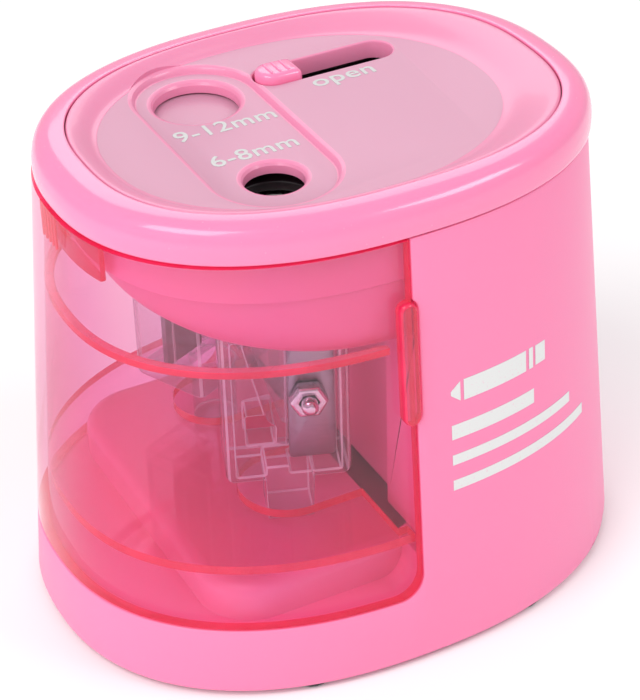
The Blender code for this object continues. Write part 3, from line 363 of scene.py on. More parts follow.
def half_sizes(z, inset=0.0):
    """Half length and half width of the tapered body at a height, less an inset."""
    share = (RIM_LINE - z) / (RIM_LINE - FOOT_Z)
    return TOP_A + (BASE_A - TOP_A) * share - inset, TOP_B + (BASE_B - TOP_B) * share - inset


def row(z, inset=0.0):
    """The body's outline at a height, as skin takes it."""
    return oval(*half_sizes(z, inset)), z


def wall_y(x, z):
    """How far from the middle the body's wall stands at a place along its length."""
    half_a, half_b = half_sizes(z)
    return half_b * max(0.0, 1 - abs(x / half_a) ** OVAL_POWER) ** (1 / OVAL_POWER)


def smooth_rows(keys, steps):
    """Values read off a smooth curve through the key tuples, ends included."""
    rows = []
    for i in range(len(keys) - 1):
        p0, p1 = keys[max(i - 1, 0)], keys[i]
        p2, p3 = keys[i + 1], keys[min(i + 2, len(keys) - 1)]
        for k in range(steps):
            t = k / steps
            rows.append(tuple(
                0.5 * (2 * b + (c - a) * t + (2 * a - 5 * b + 4 * c - d) * t * t
                       + (3 * b - a - 3 * c + d) * t ** 3)
                for a, b, c, d in zip(p0, p1, p2, p3)))
    rows.append(tuple(keys[-1]))
    return rows


def skin(rows, ring=False):
    """Closed mesh through (outline, z) rows, capped or joined end to end as a ring."""
    bm = bmesh.new()
    loops = [[bm.verts.new((x * MM, y * MM, z * MM)) for x, y in outline] for outline, z in rows]
    count = len(loops[0])
    for low, high in zip(loops, loops[1:] + (loops[:1] if ring else [])):
        for i in range(count):
            j = (i + 1) % count
            bm.faces.new((low[i], low[j], high[j], high[i]))
    if not ring:
        bm.faces.new(loops[0])
        bm.faces.new(loops[-1])
    return mesh_from(bm)


def mesh_from(bm):
    """A mesh from a BMesh, its normals turned outwards; the BMesh is freed."""
    bmesh.ops.recalc_face_normals(bm, faces=bm.faces)
    mesh = bpy.data.meshes.new("work")
    bm.to_mesh(mesh)
    bm.free()
    return mesh


def prism(outline, low, high, axis="Z"):
    """An outline given thickness along Z, or along Y with the outline standing in XZ."""
    mesh = skin([(outline, low), (outline, high)])
    if axis == "Y":
        turn_mesh(mesh, Matrix.Rotation(math.pi / 2, 4, "X"))
    return mesh


def turn_mesh(mesh, matrix):
    mesh.transform(matrix)
    return mesh


def revolve(profile, steps, at):
    """Turned solid from (radius, height) pairs that start and end on its upright axis."""
    bm = bmesh.new()
    rings = []
    for radius, height in profile:
        if radius == 0:
            rings.append([bm.verts.new((0, 0, height * MM))] * steps)
        else:
            rings.append([bm.verts.new((radius * math.cos(2 * math.pi * i / steps) * MM,
                                        radius * math.sin(2 * math.pi * i / steps) * MM, height * MM))
                          for i in range(steps)])
    for first, second in zip(rings, rings[1:]):
        for i in range(steps):
            j = (i + 1) % steps
            corners = []
            for vert in (first[i], first[j], second[j], second[i]):
                if vert not in corners:
                    corners.append(vert)
            if len(corners) > 2:
                bm.faces.new(corners)
    return turn_mesh(mesh_from(bm), Matrix.Translation(Vector(at) * MM))


def arc(cx, cy, radius, start, end, steps):
    """Points along an arc, from a start to an end angle in degrees."""
    turns = [math.radians(start + (end - start) * i / steps) for i in range(steps + 1)]
    return [(cx + radius * math.cos(turn), cy + radius * math.sin(turn)) for turn in turns]


def stadium(x0, x1, y, radius, steps):
    return arc(x1 - radius, y, radius, -90, 90, steps) + arc(x0 + radius, y, radius, 90, 270, steps)


def rounded_rectangle(x0, x1, y0, y1, radius, steps=10):
    return (arc(x1 - radius, y0 + radius, radius, -90, 0, steps)
            + arc(x1 - radius, y1 - radius, radius, 0, 90, steps)
            + arc(x0 + radius, y1 - radius, radius, 90, 180, steps)
            + arc(x0 + radius, y0 + radius, radius, 180, 270, steps))


def block(low, high):
    """A plain box between two corners, for cutting."""
    bm = bmesh.new()
    bmesh.ops.create_cube(bm, size=1.0)
    size, middle = Vector(high) - Vector(low), (Vector(high) + Vector(low)) / 2
    bmesh.ops.transform(bm, matrix=Matrix.Translation(middle * MM) @ Matrix.Diagonal((*(size * MM), 1)),
                        verts=bm.verts)
    return mesh_from(bm)


def put(mesh, name="work"):
    """An object in the scene that shows a mesh or a curve."""
    obj = bpy.data.objects.new(name, mesh)
    bpy.context.scene.collection.objects.link(obj)
    return obj


def baked(obj):
    """The object's mesh with its modifiers applied; the object is removed."""
    graph = bpy.context.evaluated_depsgraph_get()
    mesh = bpy.data.meshes.new_from_object(obj.evaluated_get(graph))
    bpy.data.objects.remove(obj)
    return mesh


def carve(mesh, *steps):
    """Cuts, joins or keeps in turn: each step is ("DIFFERENCE" or "UNION" or "INTERSECT", mesh)."""
    base = put(mesh)
    tools = []
    for operation, other in steps:
        tool = put(other)
        tools.append(tool)
        change = base.modifiers.new(operation.lower(), "BOOLEAN")
        change.object, change.operation, change.solver = tool, operation, "EXACT"
    result = baked(base)
    for tool in tools:
        bpy.data.objects.remove(tool)
    return result


def merged(meshes):
    """Several closed meshes as one."""
    bm = bmesh.new()
    for mesh in meshes:
        bm.from_mesh(mesh)
    joined = bpy.data.meshes.new("work")
    bm.to_mesh(joined)
    bm.free()
    return joined


def soften(mesh, width, segments=3, finish=-1):
    """Rounds the sharp edges; finish is the material index of the rounds, or -1 to keep the faces' own."""
    bm = bmesh.new()
    bm.from_mesh(mesh)
    bmesh.ops.remove_doubles(bm, verts=bm.verts, dist=WELD)
    bmesh.ops.dissolve_degenerate(bm, edges=bm.edges, dist=WELD / 2)
    bm.to_mesh(mesh)
    bm.free()
    for _ in range(finish + 1):
        mesh.materials.append(None)
    obj = put(mesh)
    bevel = obj.modifiers.new("round", "BEVEL")
    bevel.width, bevel.segments, bevel.limit_method = width * MM, segments, "ANGLE"
    bevel.angle_limit = math.radians(SHARP)
    bevel.use_clamp_overlap = False
    bevel.material = finish
    bevel.miter_outer = "MITER_ARC"
    return baked(obj)


def split_by(mesh, choose):
    """Sets each face's material index from a rule on its centre, in millimetres, and its normal."""
    for polygon in mesh.polygons:
        polygon.material_index = choose(polygon.center / MM, polygon.normal)
    return mesh


def piece(name, mesh, body, finishes, stands_for=(), angle=38):
    """Names a finished mesh, gives it its finishes and its body, and hides the frame nodes it stands for."""
    mesh.name = name
    kept = [polygon.material_index for polygon in mesh.polygons]
    mesh.materials.clear()
    for key in finishes:
        mesh.materials.append(MATERIALS[key])
    for polygon, index in zip(mesh.polygons, kept):
        polygon.material_index = min(index, len(finishes) - 1)
    mesh.shade_smooth()
    mesh.set_sharp_from_angle(angle=math.radians(angle))
    obj = put(mesh, name)
    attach(obj, body)
    if stands_for:
        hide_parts(*stands_for)
    return obj


def frame_copy(node):
    """A welded copy of a frame node's mesh, its flat faces whole again."""
    bm = bmesh.new()
    bm.from_mesh(frame["nodes"][node].data)
    bmesh.ops.remove_doubles(bm, verts=bm.verts, dist=1e-6)
    bmesh.ops.dissolve_limit(bm, angle_limit=math.radians(0.5), verts=bm.verts, edges=bm.edges)
    return mesh_from(bm)


# ---------------------------------------------------------------- ribs by geometry nodes

def rib_tree():
    """A row of raised capsule ribs: inputs Count, Start, Step, Length, Size and Material."""
    tree = bpy.data.node_groups.new("rib_row", "GeometryNodeTree")
    face = tree.interface
    for label, kind in (("Count", "Int"), ("Start", "Vector"), ("Step", "Vector"), ("Length", "Float"),
                        ("Size", "Vector"), ("Material", "Material")):
        face.new_socket(label, in_out="INPUT", socket_type=f"NodeSocket{kind}")
    face.new_socket("Geometry", in_out="OUTPUT", socket_type="NodeSocketGeometry")
    link = tree.links.new

    def add(kind, **settings):
        node = tree.nodes.new(kind)
        for key, value in settings.items():
            setattr(node, key, value)
        return node
    given, line = add("NodeGroupInput"), add("GeometryNodeMeshLine", mode="OFFSET")
    link(given.outputs["Count"], line.inputs["Count"])
    link(given.outputs["Start"], line.inputs["Start Location"])
    link(given.outputs["Step"], line.inputs["Offset"])
    ball = add("GeometryNodeMeshUVSphere")
    ball.inputs["Segments"].default_value, ball.inputs["Rings"].default_value = 20, 12
    ball.inputs["Radius"].default_value = 1.0
    both = add("GeometryNodeJoinGeometry")
    for sign in (-0.5, 0.5):
        size = add("GeometryNodeTransform")
        link(ball.outputs["Mesh"], size.inputs["Geometry"])
        link(given.outputs["Size"], size.inputs["Scale"])
        place = add("ShaderNodeCombineXYZ")
        half = add("ShaderNodeMath", operation="MULTIPLY")
        half.inputs[1].default_value = sign
        link(given.outputs["Length"], half.inputs[0])
        link(half.outputs[0], place.inputs["Y"])
        link(place.outputs[0], size.inputs["Translation"])
        link(size.outputs[0], both.inputs[0])
    hull = add("GeometryNodeConvexHull")
    link(both.outputs[0], hull.inputs[0])
    copies = add("GeometryNodeInstanceOnPoints")
    link(line.outputs["Mesh"], copies.inputs["Points"])
    link(hull.outputs[0], copies.inputs["Instance"])
    real, coat = add("GeometryNodeRealizeInstances"), add("GeometryNodeSetMaterial")
    out = add("NodeGroupOutput")
    link(copies.outputs[0], real.inputs[0])
    link(real.outputs[0], coat.inputs["Geometry"])
    link(given.outputs["Material"], coat.inputs["Material"])
    link(coat.outputs[0], out.inputs[0])
    return tree


def ribs(count, start, step, length, size, finish):
    """The mesh of a row of ribs, from sizes in millimetres; each rib lies along Y."""
    tree = bpy.data.node_groups.get("rib_row") or rib_tree()
    obj = put(bpy.data.meshes.new("ribs"))
    grow = obj.modifiers.new("ribs", "NODES")
    grow.node_group = tree
    values = {"Count": count, "Start": [v * MM for v in start], "Step": [v * MM for v in step],
              "Length": length * MM, "Size": [v * MM for v in size], "Material": MATERIALS[finish]}
    for item in tree.interface.items_tree:
        if item.in_out == "INPUT":
            grow[item.identifier] = values[item.name]
    obj.update_tag()
    return baked(obj)


# ---------------------------------------------------------------- operators

class SHARPENER_OT_finishes(bpy.types.Operator):
    """Mix the finishes"""
    bl_idname = "sharpener.finishes"
    bl_label = "Finishes"

    def execute(self, context):
        mix_finishes()
        return {"FINISHED"}


class SHARPENER_OT_body(bpy.types.Operator):
    """Build the oval body with its drawer bay and platform"""
    bl_idname = "sharpener.body"
    bl_label = "Body"

    def execute(self, context):
        round_edge = context.scene.sharpener_form.edge_round / MM
        keys = [(FOOT_Z, 1.0), (FOOT_Z + 0.12, 0.55), (FOOT_Z + 0.45, 0.18), (FOOT_Z + 1.1, 0.0)]
        rows = [row(z, inset) for z, inset in smooth_rows(keys, 3)]
        top = BODY_HIGH.z
        rows += [row(FOOT_Z + 1.1 + (top - FOOT_Z - 1.1) * share) for share in (0.25, 0.5, 0.75, 1.0)]
        bay = prism([(-REACH, REACH), (-REACH, DECK_Z)]
                    + arc(EDGE_X - BAY_R, DECK_Z + BAY_R, BAY_R, -90, 0, 16) + [(EDGE_X, REACH)],
                    -REACH, REACH, "Y")
        hollow = skin([row(PLATFORM_Z, WALL), row(REACH, WALL)])
        pill = pill_outline(PILL_HALF + 0.3)
        shell = carve(
            skin(rows), ("DIFFERENCE", bay), ("DIFFERENCE", hollow),
            ("DIFFERENCE", self.cell_box()),
            ("DIFFERENCE", block((28, -26.5, -1), (REACH, 26.5, 2.5))),
            ("DIFFERENCE", prism(pill, -REACH, REACH, "Y")))
        shell = soften(shell, round_edge)
        rows = [(self.platform_outline(0.0), DECK_Z - 0.7)]
        for i in range(9):
            turn = math.pi / 2 * i / 8
            rows.append((self.platform_outline(PLATFORM_ROUND * (1 - math.cos(turn))),
                         PLATFORM_Z - PLATFORM_ROUND + PLATFORM_ROUND * math.sin(turn)))
        platform = carve(skin(rows), ("DIFFERENCE", self.cell_box()))
        piece("body_moulding", shell, "body", ["shell"], ("body_shell",))
        piece("drawer_platform", platform, "body", ["shell"], (), 50)
        return {"FINISHED"}

    def cell_box(self):
        return prism(rounded_rectangle(-BOX_A, BOX_A, -BOX_B, BOX_B, BOX_R), -1, BOX_TOP)

    def platform_outline(self, inset):
        half = BOX_B + PLATFORM_WALL - inset
        return rounded_rectangle(-BOX_A - PLATFORM_WALL + inset, PLATFORM_END, -half, half,
                                 PLATFORM_R - inset * 0.8, 14)


def pill_outline(half):
    """The side bar's outline in XZ, upright with round ends."""
    return (arc(PILL_X, PILL_HIGH - PILL_HALF, half, 0, 180, 16)
            + arc(PILL_X, PILL_LOW + PILL_HALF, half, 180, 360, 16))


class SHARPENER_OT_rim(bpy.types.Operator):
    """Build the rolled glossy rim"""
    bl_idname = "sharpener.rim"
    bl_label = "Rim"

    def execute(self, context):
        crown = GROOVE_Z + 0.12
        depth = crown - RIM_LINE
        keys = [(0.955, RIM_LINE), (0.985, RIM_LINE + 0.04 * depth), (1.0, RIM_LINE + 0.17 * depth),
                (0.985, RIM_LINE + 0.42 * depth), (0.90, RIM_LINE + 0.68 * depth),
                (0.74, RIM_LINE + 0.85 * depth), (0.50, RIM_LINE + 0.95 * depth),
                (0.25, RIM_LINE + 0.99 * depth), (0.05, crown), (0.0, crown - 0.12)]
        rows = [self.ring(share, z) for share, z in smooth_rows(keys, 5)]
        rows.append(self.ring(0.0, RIM_LINE))
        piece("rolled_rim", skin(rows, ring=True), "body", ["rim"], ("top_rim",))
        return {"FINISHED"}

    def ring(self, share, z):
        half_a = GROOVE_A + (RIM_HIGH.x - GROOVE_A) * share
        half_b = GROOVE_B + (RIM_HIGH.y - GROOVE_B) * share
        power = GROOVE_POWER + (OVAL_POWER - GROOVE_POWER) * share
        return oval(half_a, half_b, power, GROOVE_SHIFT + (RIM_SHIFT - GROOVE_SHIFT) * share), z


class SHARPENER_OT_panel(bpy.types.Operator):
    """Build the sunk top panel with its recess, pencil holes and slot"""
    bl_idname = "sharpener.panel"
    bl_label = "Panel"

    def execute(self, context):
        low = PANEL_LOW.z
        a0, b0, a1, b1, shift = GROOVE_A - 0.13, GROOVE_B - 0.13, GROOVE_A - 6.05, GROOVE_B - 3.0, -1.6
        edge = oval(a0, b0, GROOVE_POWER, GROOVE_SHIFT)
        rows = [(edge, low), (edge, GROOVE_Z - 0.45)]
        keys = [(0.0, GROOVE_Z - 0.3), (0.03, GROOVE_Z - 0.06), (0.10, GROOVE_Z), (0.24, GROOVE_Z - 0.12),
                (0.5, GROOVE_Z - 0.62), (0.8, FLAT_Z + 0.28), (0.97, FLAT_Z + 0.06), (1.0, FLAT_Z)]
        for share, z in smooth_rows(keys, 4):
            power = GROOVE_POWER + (FLAT_POWER - GROOVE_POWER) * share
            rows.append((oval(a0 + (a1 - a0) * share, b0 + (b1 - b0) * share, power,
                              GROOVE_SHIFT + (shift - GROOVE_SHIFT) * share), z))
        recess = [(BED_Z, -0.30), (BED_Z + 0.08, -0.10), (BED_Z + 0.3, 0.0), (FLAT_Z - 0.45, 0.1),
                  (FLAT_Z - 0.18, 0.32), (FLAT_Z - 0.03, 0.72), (FLAT_Z + 0.02, 1.0), (FLAT_Z + 6, 1.0)]
        track = []
        for z, grow in recess:
            ends = stadium(SMALL_Y - RECESS_R - grow, LARGE_Y + RECESS_R + grow, HOLE_X, RECESS_R + grow, 32)
            track.append(([(x, y) for y, x in ends], z))
        cutters = [("DIFFERENCE", skin(track))]
        for y, radius in ((SMALL_Y, SMALL_R), (LARGE_Y, LARGE_R)):
            lip = [(radius + out, BED_Z + up) for out, up in (
                (1.05, 0.02), (0.72, -0.04), (0.34, -0.24), (0.08, -0.6), (0.0, -1.05))]
            profile = [(0, FLAT_Z + 8), (radius + 1.05, FLAT_Z + 8)] + lip + [(radius, low - 1), (0, low - 1)]
            cutters.append(("DIFFERENCE", revolve(profile, 96, (HOLE_X, y, 0))))
        edges = ((low - 1, 0.0), (FLAT_Z - 0.4, 0.0), (FLAT_Z - 0.12, 0.1), (FLAT_Z + 0.02, 0.38),
                 (FLAT_Z + 6, 0.38))
        slot = [(stadium(SLOT_LEFT - grow, SLOT_RIGHT + grow, LARGE_Y, SLOT_HALF + grow, 24), z)
                for z, grow in edges]
        cutters.append(("DIFFERENCE", skin(slot)))
        mesh = carve(skin(rows), *cutters)
        # painted light: by the tilt of each face, flat faces take the greyer panel pink and the rest the
        # deeper slope pink
        split_by(mesh, lambda centre, normal: 0 if normal.z > 0.985 and centre.z < FLAT_Z + 0.02 else 1)
        piece("top_panel_moulding", mesh, "body", ["panel", "slope_painted_light"], ("top_panel",), 24)
        return {"FINISHED"}


class SHARPENER_OT_shutter(bpy.types.Operator):
    """Build the sliding shutter and its ribbed knob"""
    bl_idname = "sharpener.shutter"
    bl_label = "Shutter"

    def execute(self, context):
        x0, x1, half = KNOB_LOW.x, KNOB_HIGH.x, (KNOB_HIGH.y - KNOB_LOW.y) / 2
        top, low = KNOB_HIGH.z - 0.25, KNOB_LOW.z
        rows = []
        corner = KNOB_CORNER
        for z, inset in ((low, 0.0), (top - 0.95, 0.0), (top - 0.5, 0.1), (top - 0.2, 0.3),
                         (top - 0.04, 0.62), (top, 1.0)):
            outline = (arc(x1 - corner, LARGE_Y - half + corner, corner - inset * 0.6, -90, 0, 10)
                       + arc(x1 - corner, LARGE_Y + half - corner, corner - inset * 0.6, 0, 90, 10)
                       + arc(x0 + half, LARGE_Y, half, 90, 270, 28))
            middle = ((x0 + x1) / 2, LARGE_Y)
            shrink_x, shrink_y = 1 - inset / ((x1 - x0) / 2), 1 - inset / half
            rows.append(([(middle[0] + (x - middle[0]) * shrink_x, middle[1] + (y - middle[1]) * shrink_y)
                          for x, y in outline], z))
        count = context.scene.sharpener_form.rib_count
        first_rib = ((x0 + x1) / 2 - RIB_PITCH * (count - 1) / 2, LARGE_Y, top - 0.02)
        bars = ribs(count, first_rib, (RIB_PITCH, 0, 0), RIB_LENGTH, (RIB_R, RIB_R, RIB_R), "rim")
        piece("shutter_thumb_knob", skin(rows), "shutter", ["rim"], ("shutter_knob",), 50)
        piece("shutter_knob_ribs", bars, "shutter", ["rim"], (), 60)
        plate = soften(frame_copy("shutter_plate"), 0.2)
        piece("shutter_slide_plate", plate, "shutter", ["panel"], ("shutter_plate",))
        return {"FINISHED"}


class SHARPENER_OT_labels(bpy.types.Operator):
    """Print the range labels on the panel and a pencil mark on the side"""
    bl_idname = "sharpener.labels"
    bl_label = "Labels"

    def execute(self, context):
        form = context.scene.sharpener_form
        size, thick = form.label_height / MM, form.print_thickness / MM
        for name, words, x, y, z, wide in (
                ("label_large", "9-12mm", -19.3, 3.3, BED_Z, 15.6),
                ("label_small", "6-8mm", -17.9, -5.6, BED_Z, 13.2),
                ("label_open", "open", 4.4, 6.9, FLAT_Z, 10.0)):
            self.words(name, words, (x, y, z), size, wide, thick)
        piece("side_pictogram", self.pictogram(thick), "body", ["ink"])
        return {"FINISHED"}

    def words(self, name, words, at, size, wide, thick):
        """Raised words from their left end, stretched to a width."""
        curve = bpy.data.curves.new(name, "FONT")
        curve.body = words
        curve.size = size * FIGURE_SHARE * MM
        curve.offset = 0.05 * MM
        curve.extrude = thick / 2 * MM
        curve.space_character = 1.06
        mesh = baked(put(curve))
        xs = [v.co.x for v in mesh.vertices]
        stretch = wide * MM / (max(xs) - min(xs))
        turn_mesh(mesh, Matrix.Translation(Vector(at) * MM + Vector((0, 0, thick / 2 * MM)))
                  @ Matrix.Diagonal((stretch, 1, 1, 1)) @ Matrix.Translation((-min(xs), 0, 0)))
        bm = bmesh.new()
        bm.from_mesh(mesh)
        bmesh.ops.remove_doubles(bm, verts=bm.verts, dist=1e-7)
        piece(name, mesh_from(bm), "body", ["panel_ink"])

    def pictogram(self, thick):
        """A pencil over four bars, laid on the body's front wall."""
        shapes = [
            # each shape: corners (x, z) in order round it
            [(6.2, 43.2), (17.5, 43.2), (17.5, 46.6), (6.2, 46.6)],
            [(18.1, 43.2), (18.9, 43.2), (18.9, 46.6), (18.1, 46.6)],
            [(4.0, 44.6), (5.6, 43.3), (5.6, 46.5), (4.0, 45.2)],
            [(19.4, 43.3), (21.4, 43.3), (21.4, 46.5), (19.4, 46.5)],
            [(4.0, 37.2), (19.0, 37.2), (19.0, 39.6), (4.0, 39.6)],
            [(4.0, 32.9), (27.0, 32.9), (27.0, 34.6), (4.0, 34.6)],
            [(4.0, 28.6), (30.5, 28.6), (30.5, 30.3), (4.0, 30.3)],
        ]
        bm = bmesh.new()
        for corners in shapes:
            (xa, za), (xb, zb), (xc, zc), (xd, zd) = corners
            steps = max(2, int((xb - xa) / 0.8))
            layers = []
            for out in (0.01, 0.01 + thick):
                line = []
                for i in range(steps + 1):
                    t = i / steps
                    for x, z in ((xa + (xb - xa) * t, za + (zb - za) * t),
                                 (xd + (xc - xd) * t, zd + (zc - zd) * t)):
                        line.append(bm.verts.new((x * MM, -(wall_y(x, z) + out) * MM, z * MM)))
                layers.append(line)
            under, over = layers
            for i in range(0, 2 * steps, 2):
                bm.faces.new((over[i], over[i + 2], over[i + 3], over[i + 1]))
                bm.faces.new((under[i], under[i + 1], under[i + 3], under[i + 2]))
                bm.faces.new((under[i], under[i + 2], over[i + 2], over[i]))
                bm.faces.new((under[i + 1], over[i + 1], over[i + 3], under[i + 3]))
            bm.faces.new((under[0], over[0], over[1], under[1]))
            bm.faces.new((under[-2], under[-1], over[-1], over[-2]))
        return mesh_from(bm)


class SHARPENER_OT_housing(bpy.types.Operator):
    """Build the bowl-shaped gear housing"""
    bl_idname = "sharpener.housing"
    bl_label = "Housing"

    def execute(self, context):
        shell = carve(
            skin(self.rows(0.0, 0.0, HOUSING_HIGH.z)),
            ("DIFFERENCE", skin(self.rows(HOUSING_WALL, HOUSING_WALL, REACH))),
            ("DIFFERENCE", revolve([(0, 60), (6.9, 60), (6.9, 50), (0, 50)], 64, (HOLE_X, SMALL_Y, 0))),
            ("DIFFERENCE", revolve([(0, 60), (8.9, 60), (8.9, 50), (0, 50)], 64, (HOLE_X, LARGE_Y, 0))),
            ("DIFFERENCE", revolve([(0, 60), (3.3, 60), (3.3, 50), (0, 50)], 48, (18.22, 0.7, 0))))
        piece("gear_housing_bowl", shell, "body", ["housing"], ("mech_housing",), 30)
        return {"FINISHED"}

    def rows(self, inset, floor, top):
        half_a, half_b = half_sizes(BAND_Z)
        band_a, band_b = half_a - 4.6 - inset, half_b - 2.1 - inset
        drop = BAND_Z - BOWL_Z - floor
        keys = [(0.0, 13.0, 2.6), (0.015, 11.2, 1.7), (0.06, 9.5, 1.15), (0.2, 6.6, 0.6), (0.5, 3.6, 0.4),
                (1.0, 1.6, 0.3)]
        rows = [(oval(band_a - in_a, band_b - in_b), BOWL_Z + floor + drop * share)
                for share, in_a, in_b in smooth_rows(keys, 5)]
        rows.append((oval(band_a, band_b), BAND_Z + 0.3))
        rows.append((oval(TOP_A - 4.6 - inset, TOP_B - 2.1 - inset), top))
        return rows


class SHARPENER_OT_drawer(bpy.types.Operator):
    """Build the clear drawer: wall, floor, shelf, lip with grip ribs, and side bars"""
    bl_idname = "sharpener.drawer"
    bl_label = "Drawer"

    def execute(self, context):
        parts = [self.wall(), self.floor(), self.shelf(), self.lip()] + [self.pill(side) for side in (-1, 1)]
        grip = ribs(GRIP_COUNT, (0, 0, 0), (0, 0, GRIP_PITCH), GRIP_LENGTH, (GRIP_R, GRIP_R, GRIP_R),
                    "clear_edge")
        turn_mesh(grip, Matrix.Translation(Vector(GRIP_PLACE) * MM) @ Matrix.Rotation(math.pi / 2, 4, "X"))
        piece("lip_grip_ribs", grip, "drawer", ["clear_edge"], (), 60)
        finishes = ["clear_wall", "clear_floor", "clear_edge", "clear_shelf", "clear_lip"]
        piece("shavings_drawer", merged(parts), "drawer", finishes, ("drawer",), 30)
        return {"FINISHED"}

    def wall(self):
        low, high, edge = DRAWER_LOW.z, DRAWER_HIGH.z, EDGE_X - 0.3
        rows = [row(low, 0.22), row(low + 0.08, 0.06), row(low + 0.3)]
        rows += [row(low + 0.3 + (high - low - 0.3) * share) for share in (0.25, 0.5, 0.75, 1.0)]
        back = prism([(REACH, -REACH), (REACH, REACH), (edge, REACH)]
                     + arc(edge - BAY_R, DECK_Z + BAY_R + 0.3, BAY_R, 0, -90, 16) + [(edge - BAY_R, -REACH)],
                     -REACH, REACH, "Y")
        mesh = carve(skin(rows), ("DIFFERENCE", skin([row(-REACH, DRAWER_WALL), row(REACH, DRAWER_WALL)])),
                     ("DIFFERENCE", back))
        return split_by(mesh, lambda centre, normal: 2 if (
            abs(normal.z) > 0.3 or abs(normal.x) > 0.97 and centre.x > edge - 6) else 0)

    def floor(self):
        inset = DRAWER_WALL + 0.02
        tongue = half_sizes(FLOOR_Z, DRAWER_WALL)[1] - 2.2
        cuts = [("DIFFERENCE", block((FLOOR_END, -tongue, 0), (REACH, tongue, 40))),
                ("DIFFERENCE", block((EDGE_X - 0.4, -REACH, 0), (REACH, REACH, 40)))]
        for y, radius in ((SMALL_Y, 7.6), (LARGE_Y, 6.6)):
            cuts.append(("DIFFERENCE", prism(stadium(HOLE_X - radius, REACH, y, radius, 32), 0, 40)))
        mesh = carve(skin([row(FLOOR_LOW, inset), row(FLOOR_Z, inset)]), *cuts)
        return split_by(mesh, lambda centre, normal: 1 if abs(normal.z) > 0.5 else 2)

    def shelf(self):
        """A strip along the wall's inside, its inner edge rounded and its ends drawn in to the wall."""
        section = [(0.0, SHELF_LOW), (SHELF_W - 0.3, SHELF_LOW), (SHELF_W - 0.08, SHELF_LOW + 0.15),
                   (SHELF_W, SHELF_LOW + 0.45), (SHELF_W, SHELF_Z - 0.35), (SHELF_W - 0.12, SHELF_Z - 0.08),
                   (SHELF_W - 0.35, SHELF_Z), (0.0, SHELF_Z)]
        stations = []
        for i in range(161):
            turn = math.pi / 2 + math.pi * i / 160
            c, s = math.cos(turn), math.sin(turn)
            half_a, half_b = half_sizes((SHELF_LOW + SHELF_Z) / 2, DRAWER_WALL + 0.02)
            x, y = half_a * -abs(c) ** (2 / OVAL_POWER), half_b * math.copysign(abs(s) ** (2 / OVAL_POWER), s)
            if x < SHELF_END:
                stations.append((x, y))
        bm = bmesh.new()
        loops = []
        for x, y in stations:
            taper = min(1.0, (SHELF_END - x) / 1.5)
            width = max(0.06, math.sqrt(max(0.0, 1 - (1 - taper) ** 2)))
            inward = Vector((-x / half_a ** 2, -y / half_b ** 2)).normalized()
            loops.append([
                bm.verts.new(((x + inward.x * out * width) * MM, (y + inward.y * out * width) * MM, z * MM))
                for out, z in section])
        for first, second in zip(loops, loops[1:]):
            for i in range(len(section)):
                j = (i + 1) % len(section)
                bm.faces.new((first[i], second[i], second[j], first[j]))
        bm.faces.new(loops[0])
        bm.faces.new(loops[-1])
        return split_by(mesh_from(bm), lambda centre, normal: 3 if normal.z > 0.5 else 2)

    def lip(self):
        """The thick pull lip behind the wall."""
        outline = []
        for i in range(25):
            y = LIP_HALF - 2 * LIP_HALF * i / 24
            half_a, half_b = half_sizes(DRAWER_HIGH.z, DRAWER_WALL + 0.02)
            outline.append((-half_a * (1 - abs(y / half_b) ** OVAL_POWER) ** (1 / OVAL_POWER), y))
        outline += [(LIP_X, -LIP_HALF), (LIP_X, LIP_HALF)]
        mesh = soften(prism(outline, LIP_LOW, DRAWER_HIGH.z - 0.05), 0.22, 2)
        return split_by(mesh, lambda centre, normal: 2 if normal.z < -0.3 or abs(normal.y) > 0.8 else 4)

    def pill(self, side):
        """A round-edged bar on the outside of the wall."""
        bm = bmesh.new()
        loops = []
        for grow, out in ((0.0, -1.0), (0.0, 0.15), (-0.08, 0.42), (-0.3, 0.62), (-0.7, 0.70)):
            loop = []
            for x, z in pill_outline(PILL_HALF + grow):
                loop.append(bm.verts.new((x * MM, side * (wall_y(x, z) + out) * MM, z * MM)))
            loops.append(loop)
        for first, second in zip(loops, loops[1:]):
            for i in range(len(first)):
                j = (i + 1) % len(first)
                bm.faces.new((first[i], first[j], second[j], second[i]))
        bm.faces.new(loops[0])
        bm.faces.new(loops[-1])
        return split_by(mesh_from(bm), lambda centre, normal: 4 if abs(normal.y) > 0.9 else 2)


class SHARPENER_OT_cutters(bpy.types.Operator):
    """Build both cutter carriers with blade, nut and screw"""
    bl_idname = "sharpener.cutters"
    bl_label = "Cutters"

    def execute(self, context):
        for side in ("small", "large"):
            body = f"{side}_cutter"
            head = soften(frame_copy(f"{side}_cutter_head"), 0.28, 2, finish=1)
            finishes = ["cutter_clear", "cutter_edge"]
            piece(f"{side}_carrier", head, body, finishes, (f"{side}_cutter_head",))
            for part, finish in (("blade", "blade"), ("blade_nut", "steel"), ("blade_screw", "steel")):
                mesh = soften(frame_copy(f"{side}_{part}"), 0.12, 2)
                piece(f"{side}_{part}_finished", mesh, body, [finish], (f"{side}_{part}",))
        return {"FINISHED"}


